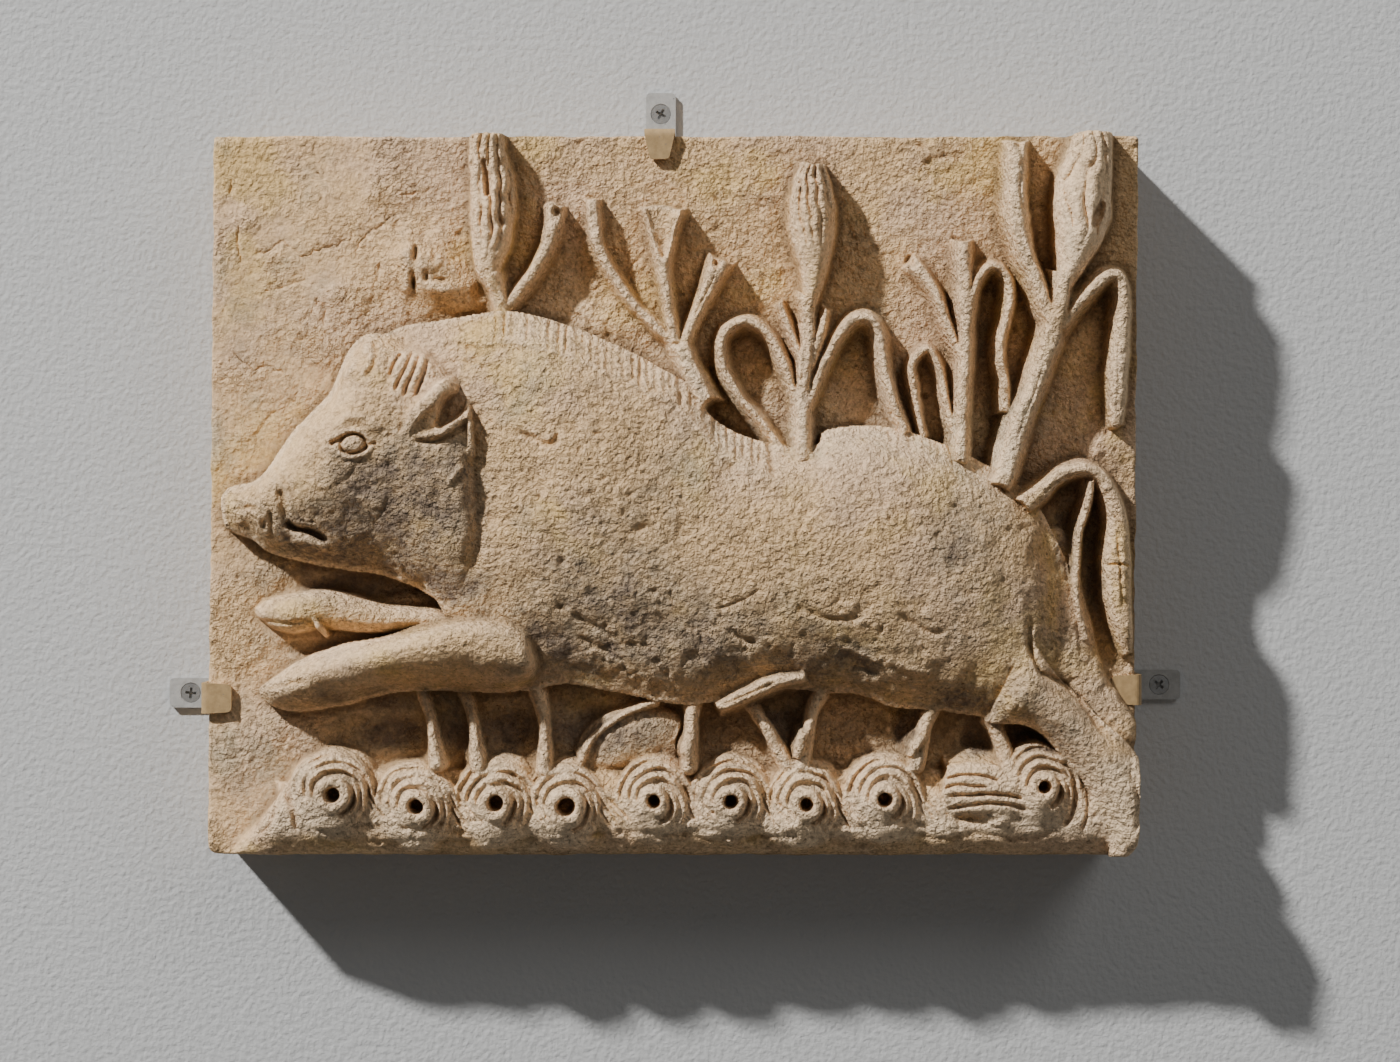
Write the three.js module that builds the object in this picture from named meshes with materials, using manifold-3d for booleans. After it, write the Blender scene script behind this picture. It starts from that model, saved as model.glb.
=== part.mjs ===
// A stucco wall relief: a boar leaping to the left over a row of curling waves,
// with budding reeds behind it, held to the wall by three bent clips and their screws.
// Millimetres, +Z up. The wall is the plane y = 0 and the relief faces -Y.

import * as THREE from 'three';
import { mergeVertices } from 'three/addons/utils/BufferGeometryUtils.js';
import Module from 'manifold-3d';

const wasm = await Module();
wasm.setup();

// Driving dimensions of the panel
const PANEL_WIDTH = 385.4;
const PANEL_HEIGHT = 299;
const PANEL_THICKNESS = 45; // wall to the ground of the relief
const PANEL_LEAN = 2.4; // the foot stands this far to the left of the head
const ARRIS_WEAR = 1.2; // worn front edge
const WORN_CORNER = 3.5; // lower left corner
const BROKEN_CORNER = 6; // lower right corner
const RELIEF_HEIGHT = 38; // ground of the relief to the cheek, its highest place
const GROUND_SINK = 2; // how deep each carved form is rooted in the ground

// Driving dimensions of the clips
const CLIP_WIDTH = 12.7;
const CLIP_THICKNESS = 2;
const CLIP_BEND = 1; // inner radius of the bends
const CLIP_SIDE_GAP = 0.9; // clip to the side of the panel
const CLIP_FRONT_GAP = 1; // clip to the ground of the relief
const LEFT_TAB = 20.4; // outer face of the riser to the end of the tab
const RIGHT_TAB = 22.6;
const TOP_TAB = 20.8;
const CLIP_CORNER = 2.2;
const SIDE_FINGER = 10; // how far a side clip reaches over the panel
const TOP_FINGER = 10;
const TOP_FINGER_END = 8.8; // the top clip narrows to this
const SIDE_CLIP_HEIGHT = -84.5; // below the middle of the panel
const RIGHT_CLIP_HEIGHT = -81;
const TOP_CLIP_ACROSS = -5.6; // to the left of the middle

// Driving dimensions of the countersunk screws
const SCREW_HEAD = 8.4;
const SCREW_SHANK = 4.2;
const SCREW_LENGTH = 25.4;
const SCREW_POINT = 6;
const SCREW_HEAD_ANGLE = 82;
const SCREW_FROM_END = 9.1; // end of the tab to the axis of the screw
const SCREW_FIT = 0.3; // between a screw and its hole
const SCREW_SIDES = 12;
const CROSS_SPAN = 4.6;
const CROSS_SLOT = 1.1;
const CROSS_DEPTH = 1.8;

// The carving is drawn on a grid of 386 by 299 units, a unit to a millimetre at true size,
// and 38 units high, so that it keeps its proportions when the panel changes.
const ACROSS = PANEL_WIDTH / 386;
const UPWARD = PANEL_HEIGHT / 299;
const OUTWARD = RELIEF_HEIGHT / 38;
const DRAWING_SHIFT = 0.9; // the drawing's zero lies this far right of the panel's middle

const STUCCO = new THREE.Color(0xb7a186);
const STEEL = new THREE.Color(0x9a9c98);

function onPanel(x, z, height) {
  const sunk = height < 0 ? -GROUND_SINK : height * OUTWARD;
  return new THREE.Vector3((x + DRAWING_SHIFT) * ACROSS, -PANEL_THICKNESS - sunk, z * UPWARD);
}

// Solids and their meshes

function signedVolume(positions, index) {
  const [a, b, c] = [new THREE.Vector3(), new THREE.Vector3(), new THREE.Vector3()];
  let volume = 0;
  for (let i = 0; i < index.length; i += 3) {
    a.fromArray(positions, index[i] * 3);
    b.fromArray(positions, index[i + 1] * 3);
    c.fromArray(positions, index[i + 2] * 3);
    volume += a.dot(b.cross(c)) / 6;
  }
  return volume;
}

function toSolid(geometry) {
  const bare = geometry.clone();
  bare.deleteAttribute('normal');
  bare.deleteAttribute('uv');
  const merged = mergeVertices(bare, 1e-4);
  const positions = merged.attributes.position.array;
  const index = [];
  for (let i = 0; i < merged.index.count; i += 3) {
    const [a, b, c] = [0, 1, 2].map((k) => merged.index.getX(i + k));
    if (a !== b && b !== c && c !== a) index.push(a, b, c);
  }
  if (signedVolume(positions, index) < 0) index.reverse();
  const mesh = new wasm.Mesh({
    numProp: 3,
    vertProperties: new Float32Array(positions),
    triVerts: new Uint32Array(index),
  });
  return new wasm.Manifold(mesh);
}

function toGeometry(solid) {
  const mesh = solid.getMesh();
  const geometry = new THREE.BufferGeometry();
  geometry.setAttribute('position', new THREE.BufferAttribute(mesh.vertProperties, 3));
  geometry.setIndex(new THREE.BufferAttribute(mesh.triVerts, 1));
  return geometry;
}

function joined(solids) {
  return solids.reduce((all, solid) => all.add(solid));
}

function cutAway(solid, cutters) {
  return cutters.reduce((left, cutter) => left.subtract(cutter), solid);
}

// A skin over closed sections of equally many points, with a flat cap at each end.
function loft(sections) {
  const sides = sections[0].length;
  const centreOf = (section) =>
    section.reduce((sum, p) => sum.add(p), new THREE.Vector3()).divideScalar(sides);
  const last = sections.length - 1;
  const points = [...sections.flat(), centreOf(sections[0]), centreOf(sections[last])];
  const [firstCap, lastCap] = [points.length - 2, points.length - 1];
  const index = [];
  for (let k = 0; k < sides; k++) {
    const next = (k + 1) % sides;
    for (let i = 0; i < last; i++) {
      const [a, b] = [i * sides + k, i * sides + next];
      index.push(a, b, b + sides, a, b + sides, a + sides);
    }
    index.push(firstCap, next, k, lastCap, last * sides + k, last * sides + next);
  }
  const geometry = new THREE.BufferGeometry().setFromPoints(points);
  geometry.setIndex(index);
  return toSolid(geometry);
}

// Smooth rows: each row is a list of values, and t runs from the first row to the last.
function rowAt(rows, t) {
  const place = t * (rows.length - 1);
  const i = Math.min(Math.floor(place), rows.length - 2);
  const f = place - i;
  const before = rows[Math.max(i - 1, 0)];
  const after = rows[Math.min(i + 2, rows.length - 1)];
  return rows[i].map((p, k) => {
    const q = rows[i + 1][k];
    const leave = (q - before[k]) / 2;
    const arrive = (after[k] - p) / 2;
    const bend = 2 * p - 2 * q + leave + arrive;
    return ((bend * f + (3 * (q - p) - 2 * leave - arrive)) * f + leave) * f + p;
  });
}

function smoothRows(rows, perSpan) {
  const steps = (rows.length - 1) * perSpan;
  return Array.from({ length: steps + 1 }, (_, i) => rowAt(rows, i / steps));
}

// Carved forms

// A form between two edges. A row is a rib across it: the x and z of its first edge and of its
// second, the height of its crown, and the heights of its walls at both edges.
const RIB_PLACES = [0.04, 0.14, 0.32, 0.68, 0.86, 0.96];
const NARROW_PLACES = [0.1, 0.34, 0.66, 0.9];

function ribbed(rows, { perSpan = 1, fullness = 4, places = RIB_PLACES } = {}) {
  const sections = smoothRows(rows, perSpan).map(([x1, z1, x2, z2, crown, wall1, wall2]) => {
    const across = (v, height) => onPanel(x1 + (x2 - x1) * v, z1 + (z2 - z1) * v, height);
    const surface = places.map((v) => {
      const wall = wall1 + (wall2 - wall1) * v;
      return across(v, wall + (crown - wall) * (1 - Math.abs(2 * v - 1) ** fullness));
    });
    return [across(0, -1), across(0, wall1), ...surface, across(1, wall2), across(1, -1)];
  });
  return loft(sections);
}

// A form along a path. A row is a place on it: x, z, half its width there and its height.
// A profile is a list of [share of the half width, share of the height].
const STEM_PROFILE = [[-0.72, 0.95], [0.72, 0.95]];
const ROUND_PROFILE = [[-0.95, 0.5], [-0.6, 0.9], [0, 1], [0.6, 0.9], [0.95, 0.5]];

function along(rows, { perSpan = 1, profile = STEM_PROFILE } = {}) {
  const stations = smoothRows(rows, perSpan);
  const sections = stations.map(([x, z, halfWidth, height], i) => {
    const [from, to] = [stations[Math.max(i - 1, 0)], stations[Math.min(i + 1, stations.length - 1)]];
    const run = new THREE.Vector2(to[0] - from[0], to[1] - from[1]).normalize();
    const side = (u, share) => {
      const reach = halfWidth * u;
      return onPanel(x - run.y * reach, z + run.x * reach, share < 0 ? -1 : height * share);
    };
    return [side(-1, -1), ...profile.map(([u, share]) => side(u, share)), side(1, -1)];
  });
  return loft(sections);
}

// A round drum. Its profile is a list of [share of the radius, height].
function drum(x, z, radius, profile, sides) {
  const foot = PANEL_THICKNESS - GROUND_SINK;
  const points = [
    new THREE.Vector2(0, foot),
    new THREE.Vector2(radius * profile[0][0], foot),
    ...profile.map(([u, height]) => new THREE.Vector2(radius * u, PANEL_THICKNESS + height * OUTWARD)),
  ];
  const geometry = new THREE.LatheGeometry(points, sides);
  geometry.rotateX(Math.PI);
  geometry.scale(ACROSS, 1, UPWARD);
  geometry.translate((x + DRAWING_SHIFT) * ACROSS, 0, z * UPWARD);
  return toSolid(geometry);
}

// Reads the height of a solid's front above a place on the drawing.
function heightReader(solid) {
  const mesh = new THREE.Mesh(toGeometry(solid), new THREE.MeshBasicMaterial({ side: THREE.DoubleSide }));
  const ray = new THREE.Raycaster();
  const inward = new THREE.Vector3(0, 1, 0);
  return (x, z) => {
    ray.set(onPanel(x, z, 3 * RELIEF_HEIGHT / OUTWARD), inward);
    const hit = ray.intersectObject(mesh)[0];
    return hit ? (-PANEL_THICKNESS - hit.point.y) / OUTWARD : 0;
  };
}

// A V-shaped cut into the surface, along places [x, z], running out to nothing at its ends.
// An open start lies just above an edge of the form and notches it.
const OPEN_START_INSET = 1.6;

function groove(heightAt, places, { halfWidth = 1.2, depth = 1.6, openStart = false, perSpan = 1 } = {}) {
  const stations = smoothRows(places, perSpan);
  const last = stations.length - 1;
  const sections = stations.map(([x, z], i) => {
    const [from, to] = [stations[Math.max(i - 1, 0)], stations[Math.min(i + 1, last)]];
    const run = new THREE.Vector2(to[0] - from[0], to[1] - from[1]).normalize();
    const isEnd = i === last || (i === 0 && !openStart);
    const share = isEnd ? 0.25 : 1;
    const level = heightAt(x, i === 0 && openStart ? z - OPEN_START_INSET : z);
    const reach = halfWidth * share * 2;
    const lift = depth * share;
    return [
      onPanel(x - run.y * reach, z + run.x * reach, level + lift),
      onPanel(x + run.y * reach, z - run.x * reach, level + lift),
      onPanel(x, z, Math.max(level - lift, 0.2)),
    ];
  });
  return loft(sections);
}

// The panel's outline, from the wall out to the given depth
function panelBlock(depth, bevel) {
  const [halfWidth, halfHeight, halfLean] = [PANEL_WIDTH / 2, PANEL_HEIGHT / 2, PANEL_LEAN / 2];
  const shape = new THREE.Shape();
  shape.moveTo(-halfWidth + halfLean, halfHeight);
  shape.lineTo(halfWidth + halfLean, halfHeight);
  shape.lineTo(halfWidth - halfLean, -halfHeight + BROKEN_CORNER);
  shape.lineTo(halfWidth - halfLean - BROKEN_CORNER * 0.35, -halfHeight + BROKEN_CORNER * 0.3);
  shape.lineTo(halfWidth - halfLean - BROKEN_CORNER, -halfHeight);
  shape.lineTo(-halfWidth - halfLean + WORN_CORNER, -halfHeight);
  shape.quadraticCurveTo(
    -halfWidth - halfLean, -halfHeight,
    -halfWidth - halfLean, -halfHeight + WORN_CORNER,
  );
  const geometry = new THREE.ExtrudeGeometry(shape, {
    depth: depth - 2 * bevel,
    curveSegments: 3,
    bevelEnabled: bevel > 0,
    bevelThickness: bevel,
    bevelSize: bevel,
    bevelOffset: -bevel,
    bevelSegments: 1,
  });
  geometry.translate(0, 0, bevel);
  geometry.rotateX(Math.PI / 2);
  return toSolid(geometry);
}

function sideOfPanel(direction, z) {
  return direction * PANEL_WIDTH / 2 + PANEL_LEAN * z / PANEL_HEIGHT;
}

// The boar

// Ribs from the neck to the rump: back edge, belly edge, crown, walls
const TRUNK = [
  [-124, 64, -112, -25, 27, 17, 18],
  [-110, 69, -95, -48, 28, 18, 20],
  [-92, 71.5, -80, -70, 29, 20, 22],
  [-70, 75, -64, -81, 31, 21, 24],
  [-50, 71, -46, -78, 34, 21, 24],
  [-28, 63, -22, -82, 35, 21, 24],
  [-10, 54, -2, -86, 35.5, 21, 24],
  [6, 45, 12, -85.5, 35.5, 20, 24],
  [16, 30, 24, -83, 35, 20, 24],
  [28, 24, 36, -81, 35, 20, 24],
  [43, 18, 48, -80, 35, 20, 24],
  [59, 18.5, 59, -81, 35, 20, 24],
  [64, 27.5, 67, -82, 35, 20, 24],
  [72, 29, 74, -83, 35, 20, 24],
  [91, 27, 92, -88, 34.5, 20, 24],
  [110, 21, 108, -89, 34, 19, 23],
  [128, 12.5, 126, -91, 32, 17, 22],
  [144, 2, 143, -93, 28, 14, 21],
  [153, -12, 156, -98, 22, 9, 19],
  [159, -32, 166, -100, 14, 5, 16],
];

// Ribs from the snout to the back of the cheek: brow edge, jaw edge
const HEAD = [
  [-188.5, 0, -188, -13, 9, 7, 6],
  [-184, 3.5, -184, -16, 14, 9, 7],
  [-174, 5, -175, -18.5, 18, 10, 9],
  [-168, 10, -168, -24, 21, 11, 12],
  [-158, 25, -156, -27, 26, 13, 15],
  [-149, 34, -145, -29, 30, 15, 18],
  [-141, 43, -134, -30.5, 33, 16, 21],
  [-134, 60, -121, -32.5, 36, 17, 24],
  [-124, 66, -108, -37, 37.5, 22, 27],
  [-112, 62, -97, -44, 38, 28, 29],
  [-101, 58, -89, -49, 38, 31, 30],
  [-91, 48, -84, -42, 37.8, 33, 31],
  [-83, 32, -79.5, -24, 37, 35, 34],
  [-80.5, 10, -78.5, -8, 36, 34.5, 34.5],
];

const LOWER_JAW = [
  [-175, -46.5, -174.5, -50, 5, 3, 3],
  [-169, -43, -168, -55.5, 10, 5, 5],
  [-160, -41.5, -159, -58, 13, 6, 6],
  [-147, -39.5, -147, -56, 14, 7, 7],
  [-134, -41.5, -134, -57, 14, 7, 7],
  [-121, -45.5, -122, -57, 14, 8, 8],
  [-104, -47, -106, -56, 15, 9, 9],
  [-90, -48, -92, -56, 18, 12, 12],
];

const FORELEG = [
  [-172, -79.5, -171.5, -84, 8, 5, 5],
  [-166, -75, -166, -88, 14, 7, 7],
  [-156, -69, -156, -90.5, 19, 9, 9],
  [-140, -63, -141, -88, 22, 11, 11],
  [-122, -59.5, -122, -83, 25, 13, 13],
  [-104, -54, -104, -81, 28, 16, 15],
  [-86, -49.5, -87, -81, 31, 21, 18],
  [-71, -50.5, -74, -81, 33, 26, 22],
  [-61, -56.5, -65, -80, 33.5, 28, 25],
  [-57, -67, -59, -76, 33, 29, 27],
];

const HIND_LEG = [
  [146, -62, 132, -92, 32, 26, 23],
  [154, -76, 145, -93, 29, 19, 22],
  [164, -85, 155, -99, 26, 13, 21],
  [175, -96, 163, -108, 24, 11, 19],
  [186, -106, 169, -116, 23, 11, 17],
  [194, -118, 173, -123, 22, 12, 16],
  [198, -130, 177, -131, 22, 12, 16],
  [198, -140, 180, -139, 22, 13, 17],
  [198, -152, 181, -152, 21, 13, 17],
];

// Places along the tail and its inner strand
const TAIL = [
  [143, -4, 4.5, 24], [150, 1, 4, 21], [157, 6.5, 3.2, 20], [165, 10.2, 3, 20], [173, 9, 3, 20],
  [179, 2.5, 3.4, 19], [182.5, -10, 4.2, 18], [183, -28, 5.5, 18], [183.5, -44, 4.8, 17],
  [185.5, -56, 3.6, 15], [187.5, -65, 2, 10],
];
const TAIL_STRAND = [
  [171.5, 6, 1.8, 18], [170.5, -4, 1.7, 17], [167, -15, 1.6, 17], [166, -30, 1.6, 16],
  [166.5, -45, 1.6, 15], [170, -60, 1.6, 9],
];
const SHEATH = [[18, -87, 2.5, 25], [28, -82.5, 3.2, 29], [40, -77, 3, 31], [52, -75, 2.4, 30]];

// Ridges that stand on the head: the ear's front, lobe and rear rim, and the far ear
const EAR_FRONT = [[-107, 26, 2.2, 38.5], [-102, 36, 2.4, 40], [-95, 44, 2.4, 40], [-87, 48.5, 2.2, 39]];
const EAR_LOBE = [[-104, 20, 2, 38], [-96, 22.5, 2.2, 40], [-88, 28, 2, 40], [-83.5, 34, 1.6, 38]];
const EAR_RIM = [[-87, 48.5, 1.5, 38], [-83, 40, 1.4, 38.5], [-82, 28, 1.5, 38], [-82, 14, 1.4, 37]];
const FAR_EAR = [[-135, 47, 4, 31], [-132, 54, 6, 34], [-126, 61, 5, 34], [-122, 65, 3, 31]];
const FORELOCK = [[-108, 40, 5, 38.5], [-105, 48, 7, 40], [-103, 56, 6, 40], [-103, 63, 2.5, 36]];
const EAR_HOLLOW = [[-96, 29, 0.8, 32], [-92, 34, 3.6, 30], [-87.5, 40, 2.4, 31], [-86, 44, 0.8, 33]];
const NOSE_PLATE = [[-187, 1.5, 2.2, 15], [-187.5, -7, 2.6, 16], [-186, -16, 2.2, 13]];
const TUSK = [[-149, -52, 2, 12], [-146.5, -56, 2.8, 14], [-144.5, -59.5, 1.8, 11]];

function trunkAndLimbs() {
  return joined([
    ribbed(TRUNK),
    ribbed(HEAD, { fullness: 3 }),
    ribbed(LOWER_JAW, { fullness: 2.4, places: NARROW_PLACES }),
    ribbed(FORELEG, { fullness: 2.6, places: NARROW_PLACES }),
    ribbed(HIND_LEG, { fullness: 2.8, places: NARROW_PLACES }),
    along(TAIL),
    along(TAIL_STRAND),
    along(SHEATH),
    along(TUSK),
    along(NOSE_PLATE),
  ]);
}

function headRidges() {
  return [
    ...[EAR_FRONT, EAR_LOBE, EAR_RIM].map((rows) => along(rows)),
    ...[FAR_EAR, FORELOCK].map((rows) => along(rows, { profile: ROUND_PROFILE })),
  ];
}

// The back edge of the trunk, for the bristles that stand along it
const BRISTLE_SPACING = 6;
const BRISTLE_LENGTH = 12;

function bristles(heightAt) {
  const edge = smoothRows(TRUNK.map(([x, z]) => [x, z]), 4);
  const cuts = [];
  let walked = 0;
  for (let i = 1; i < edge.length; i++) {
    const [x, z] = edge[i];
    walked += Math.hypot(x - edge[i - 1][0], z - edge[i - 1][1]) * ACROSS;
    const crosses = walked >= BRISTLE_SPACING;
    const isMane = (x > -80 && x < 40) || (x > 86 && x < 128);
    if (!crosses) continue;
    walked -= BRISTLE_SPACING;
    if (!isMane) continue;
    const reach = BRISTLE_LENGTH * (x < 40 ? 1 : 0.7);
    const places = [[x - 0.3, z + 1], [x, z - 0.4 * reach], [x + 0.8, z - reach]];
    cuts.push(groove(heightAt, places, { halfWidth: 0.8, depth: 2, openStart: true }));
  }
  return cuts;
}

const FORELOCK_CUTS = [
  [[-107, 57], [-110, 50], [-113, 43]],
  [[-103.5, 57], [-106, 49], [-109, 41]],
  [[-101, 55], [-101.5, 48], [-105, 40]],
];
const FLANK_CUTS = [
  [[-66, 26], [-58, 23], [-52, 20], [-48, 23]],
  [[-42, -48], [-32, -54], [-22, -60]],
  [[-40, -57], [-30, -63], [-20, -69]],
  [[20, -55], [28, -59], [35, -61]],
  [[50, -45], [60, -50], [70, -51], [77, -49]],
  [[91, -49], [98, -53], [104, -56], [111, -55]],
  [[71, -69], [78, -72], [85, -74]],
  [[86, -72], [96, -75], [106, -77]],
  [[12, -48], [25, -43], [35, -38]],
  [[147, -50], [146, -61], [150, -73], [161, -78], [172, -92]],
];
const FACE_CUTS = [
  [[-182, -5.5], [-176, -5.5], [-170, -6.5]],
  [[-165, -8], [-166, -13], [-165, -19]],
  [[-159, -5], [-156, -13], [-149, -15], [-140, -18.5]],
  [[-105, 23], [-97, 18.5], [-90, 19.5], [-84, 17]],
  [[-126, 62], [-122, 57], [-123, 51]],
];

// The eyeball lies in a cut ring
const EYE = [-130, 20.5];
const EYE_SIZE = 4.6;

function eyeCut(heightAt) {
  const ring = Array.from({ length: 9 }, (_, i) => {
    const angle = i / 8 * 2 * Math.PI;
    return [EYE[0] + 1.25 * EYE_SIZE * Math.cos(angle), EYE[1] + 0.95 * EYE_SIZE * Math.sin(angle)];
  });
  return groove(heightAt, ring, { halfWidth: 0.8, depth: 1.6 });
}

// The reeds

// Places along each stem, leaf and loop, from the foot up
const REED_STEMS = [
  [[-72, 74, 3.6, 14], [-73, 82, 3.4, 14], [-75, 90, 4, 15]],
  [[-70, 77, 3, 11], [-62, 87, 2.9, 12], [-55, 98, 3.4, 12], [-51, 109, 3.8, 12], [-50, 119, 4, 11]],
  [[12, 42, 3.5, 20], [6, 52, 3.5, 17], [2, 61, 3.6, 14]],
  [[2, 60, 3, 13], [-8, 70, 2.8, 11], [-18, 80, 2.8, 10], [-28, 94, 3, 9], [-33, 108, 3.2, 9], [-34, 122, 3, 8]],
  [[1, 62, 2.8, 13], [-2, 75, 2.8, 13], [-4, 88, 3.2, 13], [-5, 97, 4, 13], [-5, 108, 6.5, 13], [-5, 118, 9.5, 12]],
  [[3, 60, 3, 13], [8, 73, 3, 12], [13, 84, 3.8, 13], [19, 97, 5, 13]],
  [[53, 16, 4, 22], [53, 34, 3.6, 16], [54, 52, 3.2, 15], [55, 68, 2.8, 15], [55, 82, 3.6, 15]],
  [[54, 52, 2, 13], [49, 65, 2, 12], [43, 79, 1.5, 10]],
  [[55, 48, 2.2, 13], [59, 64, 2.6, 14], [62.5, 78, 1.6, 12]],
  [[55, 36, 2.4, 13], [61, 52, 2.4, 12], [68, 66, 2.4, 12], [76, 73, 2.4, 12], [83, 69, 2.5, 12],
    [86, 56, 2.6, 11], [89, 42, 2.6, 11], [95, 27, 2.8, 12]],
  [[44, 19, 2.2, 14], [36, 29, 2.2, 12], [27, 40, 2.2, 11], [20, 54, 2.3, 11], [20.5, 66, 2.3, 11],
    [30, 71.5, 2.4, 11], [40, 65, 2.4, 11], [47, 50, 2.4, 12], [51, 38, 2.4, 13]],
  [[103, 24, 2, 13], [100, 40, 2, 11], [98.5, 54, 2, 11], [104.5, 60.5, 2, 11], [109.5, 53, 2, 11],
    [112, 40, 2, 12], [115, 26, 2, 13]],
  [[117, 16, 3, 20], [118.5, 36, 2.7, 16], [120, 56, 2.6, 16], [120, 76, 2.8, 16], [119, 104, 2.8, 14]],
  [[119, 56, 2.2, 13], [113, 70, 2.2, 12], [107, 85, 2.6, 11], [98, 96, 3.6, 9]],
  [[121, 73, 2.2, 15], [124, 87, 2.2, 15], [131, 94, 2.2, 14], [137.5, 88, 2.3, 13], [137.5, 74, 2.3, 12],
    [134.5, 60, 2.2, 11], [136, 46, 2.4, 11], [137, 33, 2.8, 10]],
  [[134, 6, 4.2, 24], [141, 27, 4, 20], [149, 47, 3.8, 20], [157, 71, 4, 20], [160, 90, 3.4, 20]],
  [[156, 70, 3, 18], [150, 84, 3.2, 19], [144, 100, 3.6, 20], [140.5, 121, 3.8, 20], [141, 145, 3.8, 18]],
  [[159, 68, 2.8, 18], [167, 79, 2.8, 18], [176, 89, 3, 18], [182.5, 90, 3, 18], [185.5, 80, 3.2, 17],
    [184.5, 62, 4.2, 16], [183.5, 44, 4.6, 14], [183, 28, 4.4, 11]],
];

// Buds: places along each, from the joint to the tip
const BUDS = [
  [[-74, 84, 3.6, 14], [-77, 95, 7, 15], [-76, 110, 9.5, 16], [-76, 126, 10, 16], [-78, 141, 7.5, 16], [-78, 156, 6.5, 14]],
  [[56, 79, 3.6, 14], [57.5, 92, 6, 16], [57, 105, 10, 17], [56.5, 118, 10, 17], [56.5, 129, 6.5, 16], [57, 138, 1.5, 12]],
  [[160, 84, 4, 20], [164, 97, 7.5, 21], [168, 112, 12, 22], [169, 126, 12, 22], [174, 140, 7.5, 21], [177, 152, 3.5, 20]],
];
const BUD_FLUTES = [-0.45, 0, 0.45];

// Rough raised places of the ground
const ROUGH_GROUND = [
  [[-118, 88, 6, 2.5], [-108, 92, 13, 5], [-96, 88, 15, 4], [-84, 82, 8, 3]],
  [[-36, 68, 4, 2], [-24, 72, 10, 4], [-8, 62, 12, 5], [8, 52, 8, 4]],
  [[172, 18, 7, 3], [184, 20, 9, 3]],
];

function reeds() {
  return joined([
    ...REED_STEMS.map((rows) => along(rows)),
    ...BUDS.map((rows) => along(rows, { profile: ROUND_PROFILE })),
    ...ROUGH_GROUND.map((rows) => along(rows, { profile: ROUND_PROFILE })),
  ]);
}

function budFlutes(heightAt) {
  return BUDS.flatMap((rows) => BUD_FLUTES.map((share) => {
    const places = [0.28, 0.62, 0.96].map((t) => {
      const [x, z, halfWidth] = rowAt(rows, t);
      return [x + share * halfWidth, z];
    });
    return groove(heightAt, places, { halfWidth: 0.8, depth: 1.6 });
  }));
}

// The waves

const WAVE_EYE_RADIUS = 3.4;
const WAVE_EYE_DEPTH = 13;
const WAVE_RADIUS = 16;
const WAVE_HEIGHT = 20.5;
const WAVE_TURNS = 1.5;
const WAVE_PITCH = 5;
const STEPS_PER_TURN = 6;
const WAVE_SIDES = 10;
const WAVE_EYES = [
  [-141, -123.5], [-106.5, -127], [-74, -126.5], [-45, -127], [-8.5, -125.5],
  [23, -125.5], [53.5, -126], [86.5, -124.5], [152, -121],
];
const DRUM_PROFILE = [[1, 12], [0.84, WAVE_HEIGHT], [0, WAVE_HEIGHT]];

// Ribs along the foot of the waves: upper edge, lower edge of the panel
const WAVE_BED = [
  [-166, -126, -186, -149.5, 3, 2, 1],
  [-160, -117, -172, -151, 14, 8, 3],
  [-148, -114, -150, -151, 18, 12, 4],
  [-60, -114, -60, -151, 18, 12, 4],
  [40, -114, 40, -151, 18, 12, 4],
  [130, -114, 130, -151, 18, 12, 4],
  [176, -112, 172, -151, 18, 12, 4],
  [194, -112, 194, -151, 18, 12, 4],
];
const LONG_WAVE = [[112, -121, 9, 17], [122, -122, 12, 20], [134, -123, 12, 20], [144, -122, 10, 19]];
const LONG_WAVE_CUTS = [-117, -121.5, -126];

function waves() {
  return joined([
    ribbed(WAVE_BED, { fullness: 2, places: NARROW_PLACES }),
    ...WAVE_EYES.map(([x, z]) => drum(x, z, WAVE_RADIUS, DRUM_PROFILE, WAVE_SIDES)),
    along(LONG_WAVE, { profile: ROUND_PROFILE }),
  ]);
}

// A wave's groove winds outward clockwise from beside its eye
function waveScroll(heightAt, [x, z]) {
  const steps = Math.round(WAVE_TURNS * STEPS_PER_TURN);
  const places = Array.from({ length: steps + 1 }, (_, i) => {
    const turn = i / STEPS_PER_TURN;
    const radius = WAVE_EYE_RADIUS + 2.2 + WAVE_PITCH * turn;
    const angle = Math.PI - 2 * Math.PI * turn;
    return [x + radius * Math.cos(angle), z + radius * Math.sin(angle)];
  });
  return groove(heightAt, places, { halfWidth: 1, depth: 2 });
}

function waveEye([x, z]) {
  const reach = WAVE_HEIGHT + 4;
  const geometry = new THREE.CylinderGeometry(WAVE_EYE_RADIUS, WAVE_EYE_RADIUS * 0.75, reach, 6);
  geometry.rotateX(Math.PI);
  const { x: centreX, y: front, z: centreZ } = onPanel(x, z, WAVE_HEIGHT);
  geometry.translate(centreX, front - reach / 2 + WAVE_EYE_DEPTH, centreZ);
  return toSolid(geometry);
}

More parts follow.
